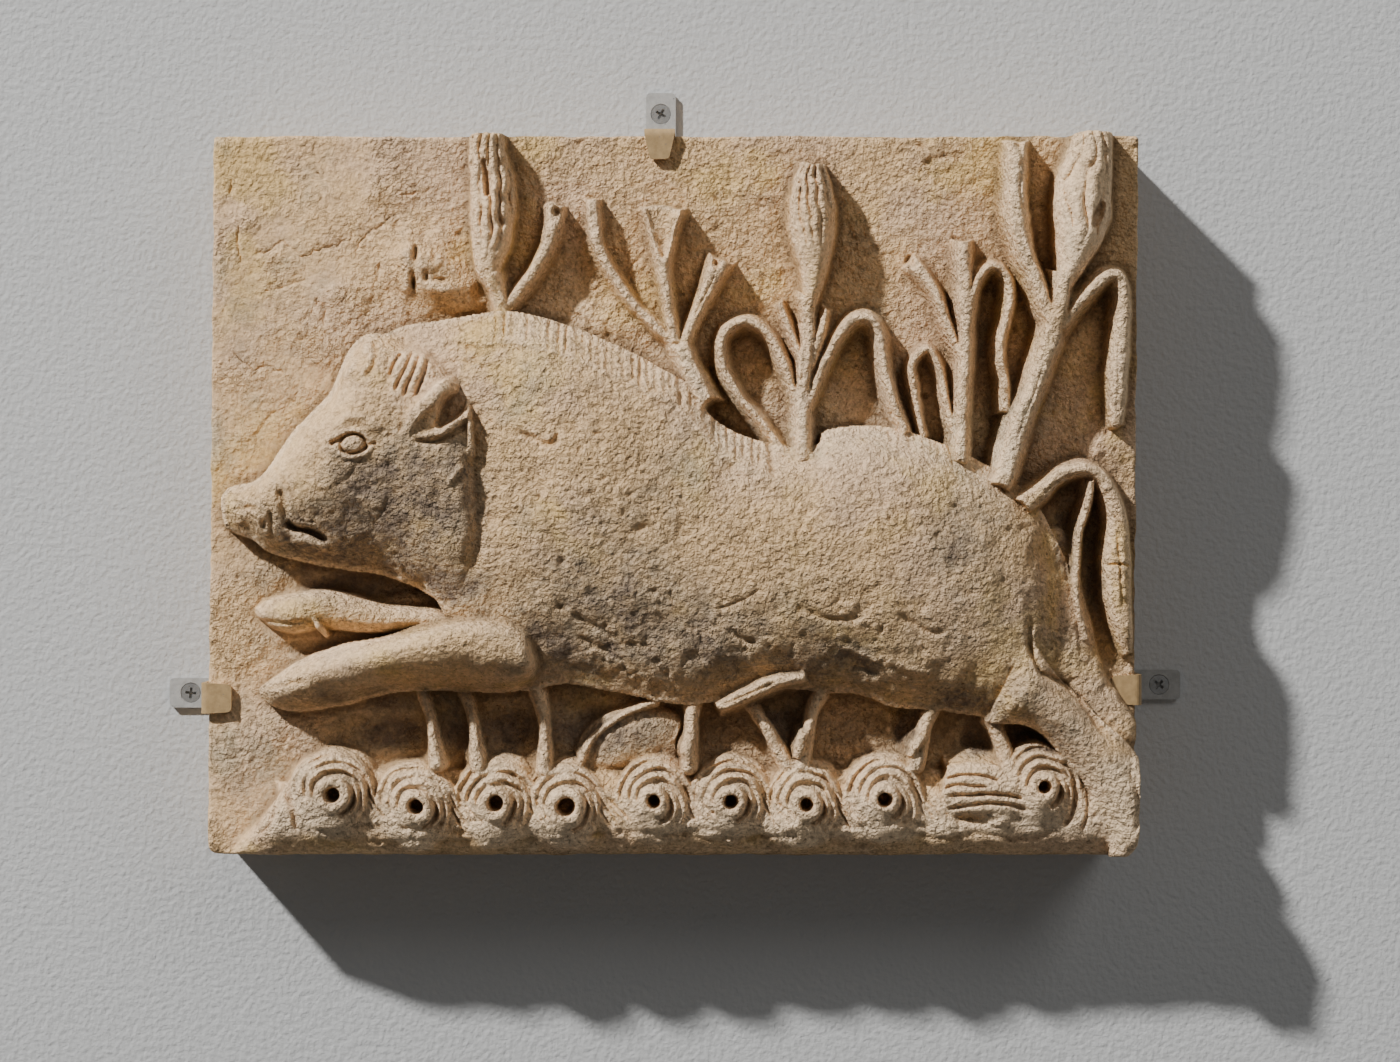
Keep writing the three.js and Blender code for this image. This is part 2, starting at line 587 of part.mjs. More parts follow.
// Struts of stucco left standing between belly and waves, and the mound behind them
const STRUTS = [
  [[-102, -82, 2.4, 16], [-101, -94, 1.7, 12], [-99, -108, 2.6, 16]],
  [[-84, -82, 2.4, 16], [-83, -95, 1.7, 12], [-81, -110, 2.6, 16]],
  [[-54, -80, 2.6, 20], [-54, -96, 2, 14], [-54, -114, 2.6, 16]],
  [[7, -82, 3, 20], [6.5, -94, 2.4, 15], [6, -112, 3.2, 18]],
  [[33, -82, 2.4, 20], [39, -97, 2, 14], [46, -112, 2.4, 16]],
  [[57, -78, 2.6, 22], [56, -93, 2.2, 15], [52, -110, 3.4, 17]],
  [[104, -84, 3, 22], [103, -97, 2.6, 16], [99, -112, 3.2, 17]],
  [[133, -90, 4, 20], [135, -101, 3, 14], [138, -114, 4, 16]],
];
const MOUND = [[-38, -112, 7, 6], [-26, -104, 13, 10], [-12, -100, 14, 10], [0, -101, 10, 7]];

function underBelly() {
  return joined([
    ...STRUTS.map((rows) => along(rows, { profile: STEM_PROFILE })),
    along(MOUND, { profile: ROUND_PROFILE }),
  ]);
}

function panel() {
  const carving = joined([trunkAndLimbs(), reeds(), waves(), underBelly()]);
  const heightAt = heightReader(carving);
  const withRidges = cutAway(joined([carving, ...headRidges()]), [
    ...bristles(heightAt),
    ...FLANK_CUTS.map((places) => groove(heightAt, places, { halfWidth: 1.6, depth: 2.2 })),
    ...FACE_CUTS.map((places) => groove(heightAt, places, { halfWidth: 1.3, depth: 2.4 })),
    ...budFlutes(heightAt),
    ...WAVE_EYES.map((eye) => waveScroll(heightAt, eye)),
    ...LONG_WAVE_CUTS.map((z) => groove(heightAt, [[112, z], [128, z + 0.6], [144, z - 1]])),
    eyeCut(heightAt),
  ]);
  const ridgeAt = heightReader(withRidges);
  const carved = cutAway(withRidges, [
    ...WAVE_EYES.map(waveEye),
    ...FORELOCK_CUTS.map((places) => groove(ridgeAt, places, { halfWidth: 1, depth: 2 })),
  ]);
  const trimmed = carved.intersect(panelBlock(PANEL_THICKNESS + 3 * RELIEF_HEIGHT, 0));
  return panelBlock(PANEL_THICKNESS, ARRIS_WEAR).add(trimmed);
}

// The clips: bent strips, drawn with the side of the panel at x = 0 and the wall at y = 0

// How fast the screw's head narrows with depth
function coneSlope() {
  return Math.tan(THREE.MathUtils.degToRad(SCREW_HEAD_ANGLE / 2));
}

function clipProfile(tab, finger) {
  const front = PANEL_THICKNESS + CLIP_FRONT_GAP + CLIP_THICKNESS;
  const inner = CLIP_SIDE_GAP;
  const outer = CLIP_SIDE_GAP + CLIP_THICKNESS;
  const wide = CLIP_BEND + CLIP_THICKNESS;
  const shape = new THREE.Shape();
  shape.moveTo(outer + tab, 0);
  shape.lineTo(outer + tab, -CLIP_THICKNESS);
  shape.absarc(outer + CLIP_BEND, -CLIP_THICKNESS - CLIP_BEND, CLIP_BEND, Math.PI / 2, Math.PI, false);
  shape.absarc(outer - wide, -front + wide, wide, 0, -Math.PI / 2, true);
  shape.lineTo(-finger, -front);
  shape.lineTo(-finger, -front + CLIP_THICKNESS);
  shape.absarc(inner - CLIP_BEND, -front + wide, CLIP_BEND, -Math.PI / 2, 0, false);
  shape.absarc(inner + wide, -wide, wide, Math.PI, Math.PI / 2, true);
  const geometry = new THREE.ExtrudeGeometry(shape, {
    depth: CLIP_WIDTH,
    curveSegments: 3,
    bevelEnabled: false,
  });
  geometry.translate(0, 0, -CLIP_WIDTH / 2);
  return toSolid(geometry);
}

function clipPlan(tab, finger, fingerEnd) {
  const half = CLIP_WIDTH / 2;
  const end = fingerEnd / 2;
  const tabEnd = CLIP_SIDE_GAP + CLIP_THICKNESS + tab;
  const shape = new THREE.Shape();
  shape.moveTo(tabEnd - CLIP_CORNER, half);
  shape.quadraticCurveTo(tabEnd, half, tabEnd, half - CLIP_CORNER);
  shape.lineTo(tabEnd, -half + CLIP_CORNER);
  shape.quadraticCurveTo(tabEnd, -half, tabEnd - CLIP_CORNER, -half);
  shape.lineTo(CLIP_SIDE_GAP, -half);
  shape.lineTo(-finger + CLIP_CORNER, -end);
  shape.quadraticCurveTo(-finger, -end, -finger, -end + CLIP_CORNER);
  shape.lineTo(-finger, end - CLIP_CORNER);
  shape.quadraticCurveTo(-finger, end, -finger + CLIP_CORNER, end);
  shape.lineTo(CLIP_SIDE_GAP, half);
  const reach = 2 * (PANEL_THICKNESS + CLIP_FRONT_GAP + CLIP_THICKNESS);
  const geometry = new THREE.ExtrudeGeometry(shape, { depth: reach, curveSegments: 3, bevelEnabled: false });
  geometry.translate(0, 0, -reach / 2);
  geometry.rotateX(Math.PI / 2);
  return toSolid(geometry);
}

function screwAxis(tab) {
  return CLIP_SIDE_GAP + CLIP_THICKNESS + tab - SCREW_FROM_END;
}

function screwHole(tab) {
  const slope = coneSlope();
  const past = 1;
  const radiusAt = (y) => SCREW_HEAD / 2 + SCREW_FIT - (y + CLIP_THICKNESS) * slope;
  const points = [
    new THREE.Vector2(0, -CLIP_THICKNESS - past),
    new THREE.Vector2(radiusAt(-CLIP_THICKNESS), -CLIP_THICKNESS - past),
    new THREE.Vector2(radiusAt(-CLIP_THICKNESS), -CLIP_THICKNESS),
    new THREE.Vector2(radiusAt(0), 0),
    new THREE.Vector2(radiusAt(0), past),
    new THREE.Vector2(0, past),
  ];
  const geometry = new THREE.LatheGeometry(points, SCREW_SIDES);
  geometry.translate(screwAxis(tab), 0, 0);
  return toSolid(geometry);
}

function clip({ tab, finger, fingerEnd }) {
  return clipProfile(tab, finger).intersect(clipPlan(tab, finger, fingerEnd)).subtract(screwHole(tab));
}

// A countersunk screw with a crossed recess, its head level with the tab of its clip
function screw(crossTurn) {
  const coneDepth = (SCREW_HEAD - SCREW_SHANK) / 2 / coneSlope();
  const headTop = -CLIP_THICKNESS;
  const points = [
    new THREE.Vector2(0, headTop),
    new THREE.Vector2(SCREW_HEAD / 2, headTop),
    new THREE.Vector2(SCREW_SHANK / 2, headTop + coneDepth),
    new THREE.Vector2(SCREW_SHANK / 2, headTop + SCREW_LENGTH - SCREW_POINT),
    new THREE.Vector2(0, headTop + SCREW_LENGTH),
  ];
  const body = toSolid(new THREE.LatheGeometry(points, SCREW_SIDES));
  const slots = [0, Math.PI / 2].map((angle) => {
    const slot = new THREE.BoxGeometry(CROSS_SPAN, 2 * CROSS_DEPTH, CROSS_SLOT);
    slot.rotateY(crossTurn + angle);
    slot.translate(0, headTop, 0);
    return toSolid(slot);
  });
  return cutAway(body, slots);
}

// Assembly

function named(name, solid, color, { roughness, metalness }) {
  const material = new THREE.MeshStandardMaterial({ color, roughness, metalness });
  const mesh = new THREE.Mesh(toGeometry(solid), material);
  mesh.name = name;
  return mesh;
}

const STUCCO_FINISH = { roughness: 0.95, metalness: 0 };
const STEEL_FINISH = { roughness: 0.45, metalness: 0.9 };

const relief = new THREE.Group();
relief.name = 'carved_wall_panel';
relief.add(named('panel', panel(), STUCCO, STUCCO_FINISH));

// Each clip stands at the side of the panel it holds, turned so that its tab points away from it.
const CLIPS = [
  {
    side: 'left',
    x: sideOfPanel(-1, SIDE_CLIP_HEIGHT),
    z: SIDE_CLIP_HEIGHT,
    turn: Math.PI,
    tab: LEFT_TAB,
    finger: SIDE_FINGER,
    fingerEnd: CLIP_WIDTH - 1,
    crossTurn: 0.1,
  },
  {
    side: 'right',
    x: sideOfPanel(1, RIGHT_CLIP_HEIGHT),
    z: RIGHT_CLIP_HEIGHT,
    turn: 0,
    tab: RIGHT_TAB,
    finger: SIDE_FINGER,
    fingerEnd: CLIP_WIDTH - 1,
    crossTurn: 0.7,
  },
  {
    side: 'top',
    x: TOP_CLIP_ACROSS,
    z: PANEL_HEIGHT / 2,
    turn: -Math.PI / 2,
    tab: TOP_TAB,
    finger: TOP_FINGER,
    fingerEnd: TOP_FINGER_END,
    crossTurn: 0.5,
  },
];

for (const { side, x, z, turn, crossTurn, ...sizes } of CLIPS) {
  const holder = new THREE.Group();
  holder.position.set(x, 0, z);
  holder.rotation.y = turn;
  const clipMesh = named(`clip_${side}`, clip(sizes), STEEL, STEEL_FINISH);
  const screwMesh = named(`screw_${side}`, screw(crossTurn), STEEL, STEEL_FINISH);
  screwMesh.position.x = screwAxis(sizes.tab);
  holder.add(clipMesh, screwMesh);
  relief.add(holder);
}

export default relief;
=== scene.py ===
# %% [markdown]
# # A carved stucco wall panel
# This lesson dresses a wall relief: a boar leaping over curling waves, with budding reeds behind
# it. The real panel is a block of gypsum stucco, carved by hand and worn by age. Three bent steel
# strips and their screws hold it to a wall. We start from a plain model at true size, and every
# piece we make stays where that model has it.

# %% Load the plain model and keep its box
import math

import bpy
import numpy as np
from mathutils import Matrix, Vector


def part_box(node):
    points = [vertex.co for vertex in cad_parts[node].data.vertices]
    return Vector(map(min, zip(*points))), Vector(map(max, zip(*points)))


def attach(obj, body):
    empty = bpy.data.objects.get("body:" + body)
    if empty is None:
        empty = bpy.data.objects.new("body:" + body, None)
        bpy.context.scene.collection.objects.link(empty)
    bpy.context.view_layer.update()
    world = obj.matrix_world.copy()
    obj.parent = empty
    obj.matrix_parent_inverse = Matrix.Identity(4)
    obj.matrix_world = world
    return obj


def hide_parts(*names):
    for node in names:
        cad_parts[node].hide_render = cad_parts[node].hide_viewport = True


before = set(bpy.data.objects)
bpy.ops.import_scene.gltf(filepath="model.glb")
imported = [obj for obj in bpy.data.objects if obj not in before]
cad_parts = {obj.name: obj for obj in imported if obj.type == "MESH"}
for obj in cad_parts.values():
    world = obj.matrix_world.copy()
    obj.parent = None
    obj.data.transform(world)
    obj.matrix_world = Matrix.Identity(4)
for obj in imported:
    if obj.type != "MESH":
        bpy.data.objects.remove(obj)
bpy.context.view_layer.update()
panel_low, panel_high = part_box("panel")

# %% [markdown]
# ## The carver's drawing
# The carving is measured on a drawing in millimetres, with x to the right and z up from the
# middle of the panel. The block's front and back are known from the model. Its upright sides lean
# a little, so the foot stands left of the head. We lay a fine grid over the front, and give each
# place of the grid one height above the ground of the relief. That is what a relief is, and it
# lets us carve with plain arithmetic, as with chisels of chosen widths.

# %% A grid of places on the drawing
MM = 0.001
STEP = 0.5
GROUND = 45.0
LEAN = 2.4
DRAWING_SHIFT = 0.9

HEIGHT = (panel_high[2] - panel_low[2]) / MM
WIDTH = (panel_high[0] - panel_low[0]) / MM - LEAN
ACROSS = WIDTH / 386
COLUMNS = int(WIDTH / STEP) + 1
ROWS = int(HEIGHT / STEP) + 1

across, upward = np.meshgrid(np.linspace(-0.5, 0.5, COLUMNS), np.linspace(-0.5, 0.5, ROWS))
Z = upward * HEIGHT
X = (across * WIDTH + LEAN * upward) / ACROSS - DRAWING_SHIFT
print("grid", ROWS, "rows of", COLUMNS)


def window(x_low, x_high, z_low, z_high):
    """The part of the grid around a stretch of the drawing."""
    edge = LEAN + STEP
    left, right = [np.searchsorted(X[ROWS // 2], x) for x in (x_low - edge, x_high + edge)]
    foot, head = [np.searchsorted(Z[:, 0], z) for z in (z_low - STEP, z_high + STEP)]
    return slice(max(foot - 1, 0), head + 1), slice(max(left - 1, 0), right + 1)


# %% [markdown]
# ## Noise for a hand-made surface
# Stucco is never even. Random values on a coarse lattice, blended with a smooth curve, give soft
# lumps of one size. Adding several sizes gives grain. A fixed seed makes the same panel each time.

# %% Soft noise and blur
def spread(count, spacing):
    """Weights that blend a coarse row of values into a fine one."""
    coarse = int(count / spacing) + 4
    place = np.arange(count)[:, None] / spacing + 1
    distance = np.abs(place - np.arange(coarse)[None, :])
    near = 2 / 3 - distance**2 + distance**3 / 2
    far = np.clip(2 - distance, 0, None) ** 3 / 6
    return np.where(distance < 1, near, far)


def noise(size, seed):
    """Lumps about size millimetres wide, between about -1 and 1 over the whole grid."""
    down, along = spread(ROWS, max(size / STEP, 1)), spread(COLUMNS, max(size / STEP, 1))
    values = np.random.default_rng(seed).standard_normal((down.shape[1], along.shape[1]))
    lumps = down @ values @ along.T
    return lumps / (2.2 * lumps.std())


def blur(field, size):
    """A soft average over about size millimetres."""
    def weights(count):
        places = np.arange(count)
        row = np.exp(-(((places[:, None] - places[None, :]) * STEP / size) ** 2))
        return row / row.sum(axis=1, keepdims=True)
    return weights(field.shape[0]) @ field @ weights(field.shape[1]).T


def step_up(value, low, high):
    share = np.clip((value - low) / (high - low), 0, 1)
    return share * share * (3 - 2 * share)


# %% [markdown]
# No chisel follows a drawing exactly. All forms are therefore cut on a slightly bent copy of the
# grid, which makes every edge wander by about half a millimetre.

# %% The unsteady hand
CARVE_X = X + 0.5 * noise(10, 71) + 0.28 * noise(4, 72)
CARVE_Z = Z + 0.5 * noise(10, 73) + 0.28 * noise(4, 74)
RAGGED = noise(3, 75)
print("edges wander by up to", np.abs(CARVE_X - X).max().round(2), "mm")

# %% [markdown]
# ## Two ways to block out a form
# A carver thinks of a leaf or a leg as a path with a width, and of a body as ribs between a back
# line and a belly line. We use the same two: `limb` for a path and `body` for ribs. Both give
# the height of the form at each place, with steep walls down to the ground. A smooth curve runs
# through the rows of numbers, so few rows are needed.

# %% Smooth rows, limbs and bodies
NOTHING = -60.0
WALL_SLOPE = 7.0
LEAF_SLOPE = 4.0


def smooth_rows(rows, per_span):
    rows = np.array(rows, float)
    last = len(rows) - 1
    places = np.linspace(0, last, last * per_span + 1)
    start = np.minimum(places.astype(int), last - 1)
    f = (places - start)[:, None]
    before, here = rows[np.maximum(start - 1, 0)], rows[start]
    there, after = rows[start + 1], rows[np.minimum(start + 2, last)]
    leave, arrive = (there - before) / 2, (after - here) / 2
    bend = 2 * here - 2 * there + leave + arrive
    return ((bend * f + (3 * (there - here) - 2 * leave - arrive)) * f + leave) * f + here


def nearest_on_path(stations, x, z):
    """For each place: how far along the path it is, its distance, and its side of the path."""
    best = np.full(x.shape, 1e9)
    share, side = np.zeros(x.shape), np.zeros(x.shape)
    for i in range(len(stations) - 1):
        (ax, az), (bx, bz) = stations[i][:2], stations[i + 1][:2]
        dx, dz = bx - ax, bz - az
        length2 = max(dx * dx + dz * dz, 1e-9)
        f = np.clip(((x - ax) * dx + (z - az) * dz) / length2, 0, 1)
        away = np.hypot(x - ax - f * dx, z - az - f * dz)
        closer = away < best
        best = np.where(closer, away, best)
        share = np.where(closer, i + f, share)
        turn = dx * (z - az) - dz * (x - ax)
        side = np.where(closer, np.sign(turn), side)
    return share, best, side


def limb(rows, rounding=0.2, slope=LEAF_SLOPE, cut_ends=True, per_span=6):
    """A form along a path. A row is x, z, half the width of its top and its height.

    With a rounding of 0 the top is flat, and with 1 it is a dome that comes down to nothing.
    """
    stations = smooth_rows(rows, per_span)
    reach = stations[:, 2].max() + stations[:, 3].max() / slope + 1
    area = window(
        stations[:, 0].min() - reach, stations[:, 0].max() + reach,
        stations[:, 1].min() - reach, stations[:, 1].max() + reach)
    x, z = CARVE_X[area], CARVE_Z[area]
    share, away, side = nearest_on_path(stations, x, z)
    places = np.arange(len(stations))
    half = np.interp(share, places, stations[:, 2])
    high = np.interp(share, places, stations[:, 3])
    u = np.clip(away / half, 0, 1)
    dome = high * (1 - rounding * (1 - (1 - u**2.2) ** 0.5))
    height = np.where(away < half, dome, high * (1 - rounding) - (away - half) * slope)
    ends = ((0, 1), (-1, -2)) if cut_ends else ()
    for end, inner in ends:
        close = share < 0.5 if end == 0 else share > len(stations) - 1.5
        end, inner = stations[end], stations[inner]
        run = np.array(end[:2]) - np.array(inner[:2])
        run /= max(np.hypot(*run), 1e-9)
        past = (x - end[0]) * run[0] + (z - end[1]) * run[1] + 1.3 * RAGGED[area]
        height = np.where((past > 0) & close, np.minimum(height, high - past * WALL_SLOPE), height)
    shaped = np.full(X.shape, NOTHING)
    shaped[area] = height
    info = {"area": area, "share": share / (len(stations) - 1), "across": side * away / half}
    return shaped, info


def body(rows, fullness=4.0, per_span=4, edge=4.0, crest=0.5):
    """A form between two edges. A row is a rib: x and z of both ends, crown, and both walls.

    The crest says how far along a rib its crown stands, and the edge how wide its rim is rounded.
    """
    ribs = smooth_rows(rows, per_span)
    reach = 6
    area = window(
        min(ribs[:, 0].min(), ribs[:, 2].min()) - reach, max(ribs[:, 0].max(), ribs[:, 2].max()) + reach,
        min(ribs[:, 1].min(), ribs[:, 3].min()) - reach, max(ribs[:, 1].max(), ribs[:, 3].max()) + reach)
    x, z = CARVE_X[area], CARVE_Z[area]

    def past_rib(rib):
        run = rib[2:4] - rib[0:2]
        return -((x - rib[0]) * run[1] - (z - rib[1]) * run[0]) / np.hypot(*run)

    first_past = past_rib(ribs[0])
    place = np.zeros(x.shape)
    previous = first_past
    for i in range(1, len(ribs)):
        past = past_rib(ribs[i])
        between = (previous >= 0) & (past < 0)
        place = np.where(between, i - 1 + previous / np.maximum(previous - past, 1e-6), place)
        place = np.where(past >= 0, i, place)
        previous = past
    places = np.arange(len(ribs))
    x1, z1, x2, z2, crown, wall1, wall2 = [np.interp(place, places, ribs[:, k]) for k in range(7)]
    length = np.hypot(x2 - x1, z2 - z1)
    v = ((x - x1) * (x2 - x1) + (z - z1) * (z2 - z1)) / length**2
    inside = np.minimum(np.minimum(v, 1 - v) * length, np.minimum(first_past, -previous))
    inner = np.clip(v, 0, 1)
    wall = wall1 + (wall2 - wall1) * inner
    inner = inner ** (math.log(0.5) / math.log(crest))
    height = wall + (crown - wall) * (1 - np.abs(2 * inner - 1) ** fullness)
    lip = np.clip(1 - inside / edge, 0, 1)
    height = height - edge * 0.6 * (1 - np.sqrt(1 - lip**2 * 0.999))
    height = np.where(inside < 0, height + inside * WALL_SLOPE, height)
    shaped = np.full(X.shape, NOTHING)
    shaped[area] = height
    return shaped


def blend(lower, upper, soft):
    """The higher of two surfaces, with a soft hollow of that size where they meet."""
    meet = np.clip(soft - np.abs(lower - upper), 0, None) / soft
    return np.maximum(lower, upper) + meet * meet * soft / 4


def soften(form, size):
    """Smooths the top of a form and leaves its walls as they are."""
    top = form > 3
    share = np.maximum(blur(top.astype(float), size), 1e-6)
    return np.where(top, blur(np.where(top, form, 0), size) / share, form)


# %% [markdown]
# ## Chisel strokes
# A stroke is a short path along which the surface goes down, or up for a ridge. It fades out at
# its ends, as a real cut does, unless one end runs off an edge. A dab lifts or lowers a soft oval
# patch, a hollow digs a pit with a floor, and a ridge lays a rounded band on a form, wherever the
# form happens to be.

# %% Strokes and dabs
def stroke(surface, places, width, depth, fade=0.25, per_span=6, open_start=False):
    """Cuts a rounded groove of that depth, or raises a ridge where the depth is negative."""
    stations = smooth_rows(places, per_span)
    low, high = stations.min(axis=0), stations.max(axis=0)
    area = window(low[0] - 2 * width, high[0] + 2 * width, low[1] - 2 * width, high[1] + 2 * width)
    share, away, _ = nearest_on_path(stations, CARVE_X[area], CARVE_Z[area])
    share = share / (len(stations) - 1)
    ends = np.minimum(1 if open_start else share / fade, (1 - share) / fade)
    taper = step_up(np.clip(ends, 0, 1), -0.3, 1)
    surface[area] -= depth * taper * np.exp(-((away / width) ** 2) * 1.6)


def dab(surface, x, z, wide, high, amount, power=2):
    """Raises or lowers a soft oval patch."""
    area = window(x - 2.5 * wide, x + 2.5 * wide, z - 2.5 * high, z + 2.5 * high)
    away = ((X[area] - x) / wide) ** 2 + ((Z[area] - z) / high) ** 2
    surface[area] += amount * np.exp(-(away ** (power / 2)))


def hollow(surface, rows, steep=4.5, per_span=6):
    """Digs a pit along a path. A row is x, z, half its width and the height of its floor."""
    stations = smooth_rows(rows, per_span)
    low, high = stations.min(axis=0), stations.max(axis=0)
    reach = high[2] + 10
    area = window(low[0] - reach, high[0] + reach, low[1] - reach, high[1] + reach)
    share, away, _ = nearest_on_path(stations, CARVE_X[area], CARVE_Z[area])
    places = np.arange(len(stations))
    half, floor = [np.interp(share, places, stations[:, k]) for k in (2, 3)]
    pit = floor + 1.5 * np.clip(away / half, 0, 1) ** 2 + np.clip(away - half, 0, None) * steep
    surface[area] = -blend(-surface[area], -pit, 0.8)


def ridge(surface, rows, edge=0.45, per_span=6):
    """Raises a form along a path. A row is x, z, half its width and how far it rises."""
    stations = smooth_rows(rows, per_span)
    low, high = stations.min(axis=0), stations.max(axis=0)
    reach = 2 * high[2] + 1
    area = window(low[0] - reach, high[0] + reach, low[1] - reach, high[1] + reach)
    share, away, _ = nearest_on_path(stations, CARVE_X[area], CARVE_Z[area])
    places = np.arange(len(stations))
    half, rise = [np.interp(share, places, stations[:, k]) for k in (2, 3)]
    surface[area] += rise * (1 - step_up(away / half, 1 - edge, 1 + edge))


def is_between(low, high, soft=3.0):
    """One where the drawing's x lies between the two values, fading out over a soft margin."""
    return step_up(X, low - soft, low + soft) * (1 - step_up(X, high - soft, high + soft))


# %% [markdown]
# ## The ground
# Behind the boar the carver cut the ground back and left it rough. It has soft swells and raised
# rough places beside the plants, and it goes deeper under the jaw, between the struts and inside
# the tail's arc. Reading a real surface as several sizes of unevenness, each in its own place,
# keeps it from looking like noise.

# %% The ground of the relief
surface = 0.7 * noise(26, 1) + 0.45 * noise(11, 2)

ROUGH_PLACES = [
    (-102, 92, 15, 13, 2.6), (-112, 96, 7, 8, 1.8), (-92, 84, 9, 7, 1.8), (-20, 74, 17, 9, 2.6),
    (2, 56, 10, 9, 3.2), (60, 36, 8, 12, 1.6), (100, 34, 9, 10, 1.6), (126, 34, 7, 14, 2.0),
    (180, 20, 10, 8, 3.0), (-40, 116, 9, 14, 1.0), (22, 118, 30, 14, 0.8), (-150, -100, 30, 10, 1.6),
]
DEEP_PLACES = [
    (131, 52, 6, 34, -3.0), (-32, -98, 11, 12, -4.0), (47, -96, 6, 9, -4.0), (96, -96, 5, 9, -4.0),
    (126, -102, 7, 8, -4.0), (150, -104, 9, 9, -4.0), (173, -30, 5, 28, -3.0), (162, -20, 5, 26, -2.0),
    (-68, -97, 13, 9, -4.0), (-120, -99, 26, 7, -3.5), (-5, -97, 3, 9, -3.0),
    (-128, -38, 24, 5, -4.0), (-150, -64, 14, 4, -2.5),
]
rough_ground = np.zeros(X.shape)
for x, z, wide, high, amount in ROUGH_PLACES:
    dab(surface, x, z, wide, high, amount)
    dab(rough_ground, x, z, wide * 1.2, high * 1.2, 1)
for x, z, wide, high, amount in DEEP_PLACES:
    dab(surface, x, z, wide, high, amount, power=4)
print("ground from", surface.min().round(1), "to", surface.max().round(1), "mm")

# %% [markdown]
# The crust left of the first bud is what is left of carving that has weathered away. It is a few
# standing lumps with deep holes between them.

# %% The eroded crust
CRUST = [
    (-104, 92, 10, 11, 5.0), (-91, 84, 12, 8, 4.0), (-111, 99, 3.5, 7, 3.5), (-104, 95, 3, 4, 2.5),
    (-101, 86, 4, 4, 2.5), (-112, 86, 3, 5, 2.5), (-94, 85, 5, 3, 2.0), (-86, 79, 6, 3, 2.0),
    (-98, 97, 4, 3, 2.0), (-92, 93, 4, 3, 1.5), (-84, 90, 3, 4, 1.5),
]
CRUST_HOLES = [
    (-107.8, 100, 0.9, 3.2, -4.0), (-108.6, 88, 1.0, 3.0, -4.5), (-103, 90, 1.0, 2, -3.0),
    (-97, 89, 2.2, 1.0, -2.5), (-100, 98, 1.0, 2, -2.0),
]
for x, z, wide, high, amount in CRUST + CRUST_HOLES:
    dab(surface, x, z, wide, high, amount)
print(len(CRUST), "lumps,", len(CRUST_HOLES), "holes")

# %% [markdown]
# ## The reeds
# Each plant is a bundle of stems and leaves rising from the boar's back. Some end in a fluted
# bud, some bend over in a loop, and several leaves have lost their tips. Each is a limb of its
# own. The rows run from the foot up, so a leaf can grow from the same point as its stem.

# %% Stems, leaves and loops
STEMS = [
    [[-72, 74, 3, 14], [-73, 82, 2.8, 14], [-75, 90, 3.4, 15]],
    [[-70, 77, 2, 12], [-62, 87, 2, 13], [-55, 98, 2.2, 13], [-51, 109, 2.4, 13], [-50, 119, 2.8, 12]],
    [[13, 38, 3.8, 23], [6, 52, 3.4, 19], [2, 61, 3.4, 16]],
    [[2, 60, 2, 13], [-8, 70, 1.8, 12], [-18, 80, 1.8, 11], [-28, 94, 1.9, 11], [-33, 108, 2.1, 11],
     [-34, 122, 2.2, 10]],
    [[1, 62, 1.8, 14], [-2, 75, 1.8, 14], [-4, 88, 2, 14], [-5, 97, 2.8, 14], [-5, 108, 5.2, 14],
     [-5, 118, 8, 13]],
    [[3, 60, 2, 14], [8, 73, 2, 13], [13, 84, 2.6, 14], [19, 97, 3.8, 14]],
    [[53, 14, 3.6, 23], [53, 34, 3, 18], [54, 52, 2.6, 17], [55, 68, 2.4, 16], [55, 82, 2.8, 16]],
    [[54, 52, 1.3, 14], [49, 65, 1.3, 13], [43.5, 79, 1.0, 11]],
    [[55, 48, 1.5, 14], [59, 64, 2.0, 15], [62.5, 78, 1.0, 12]],
    [[55, 36, 1.8, 16], [61, 52, 1.8, 16], [68, 66, 1.8, 16], [76, 73, 1.9, 17], [83, 69, 1.9, 17],
     [86, 56, 1.9, 17], [89, 42, 1.9, 17], [95, 25, 1.9, 17]],
    [[45, 17, 1.7, 17], [36, 29, 1.6, 15], [27, 40, 1.6, 15], [20, 54, 1.7, 14], [20.5, 66, 1.7, 14],
     [30, 71.5, 1.8, 14], [40, 65, 1.8, 14], [47, 50, 1.8, 15], [51, 38, 1.8, 15]],
    [[103, 24, 1.3, 13], [100, 40, 1.3, 12], [98.5, 54, 1.3, 12], [104.5, 60.5, 1.3, 12],
     [109.5, 53, 1.3, 12], [112, 40, 1.3, 12], [115, 26, 1.3, 13]],
    [[117, 14, 2.8, 23], [118.5, 36, 2.4, 18], [120, 56, 2.3, 17], [120, 76, 2.4, 17],
     [119, 104, 2.4, 15]],
    [[119, 56, 1.4, 14], [113, 70, 1.4, 13], [107, 85, 1.8, 12], [98, 96, 2.6, 10]],
    [[121, 70, 1.5, 16], [124, 87, 1.5, 16], [131, 94, 1.5, 15], [137.5, 88, 1.6, 14],
     [137.5, 74, 1.6, 14], [134.5, 60, 1.5, 13], [136, 46, 1.6, 12], [137, 34, 1.9, 11]],
    [[134, 4, 4.2, 25], [141, 27, 3.8, 21], [149, 47, 3.5, 21], [157, 71, 3.5, 21], [160, 90, 3.2, 21]],
    [[156, 70, 2.3, 20], [150, 84, 2.6, 20], [144, 100, 3.0, 20], [140.5, 121, 3.2, 20],
     [141, 145, 3.2, 18]],
    [[159, 68, 2.0, 19], [167, 79, 2.1, 19], [176, 89, 2.2, 19], [182.5, 90, 2.3, 18],
     [185, 80, 2.5, 17], [184.5, 62, 2.9, 16], [183.5, 44, 3.0, 14], [183, 29, 2.4, 10]],
]
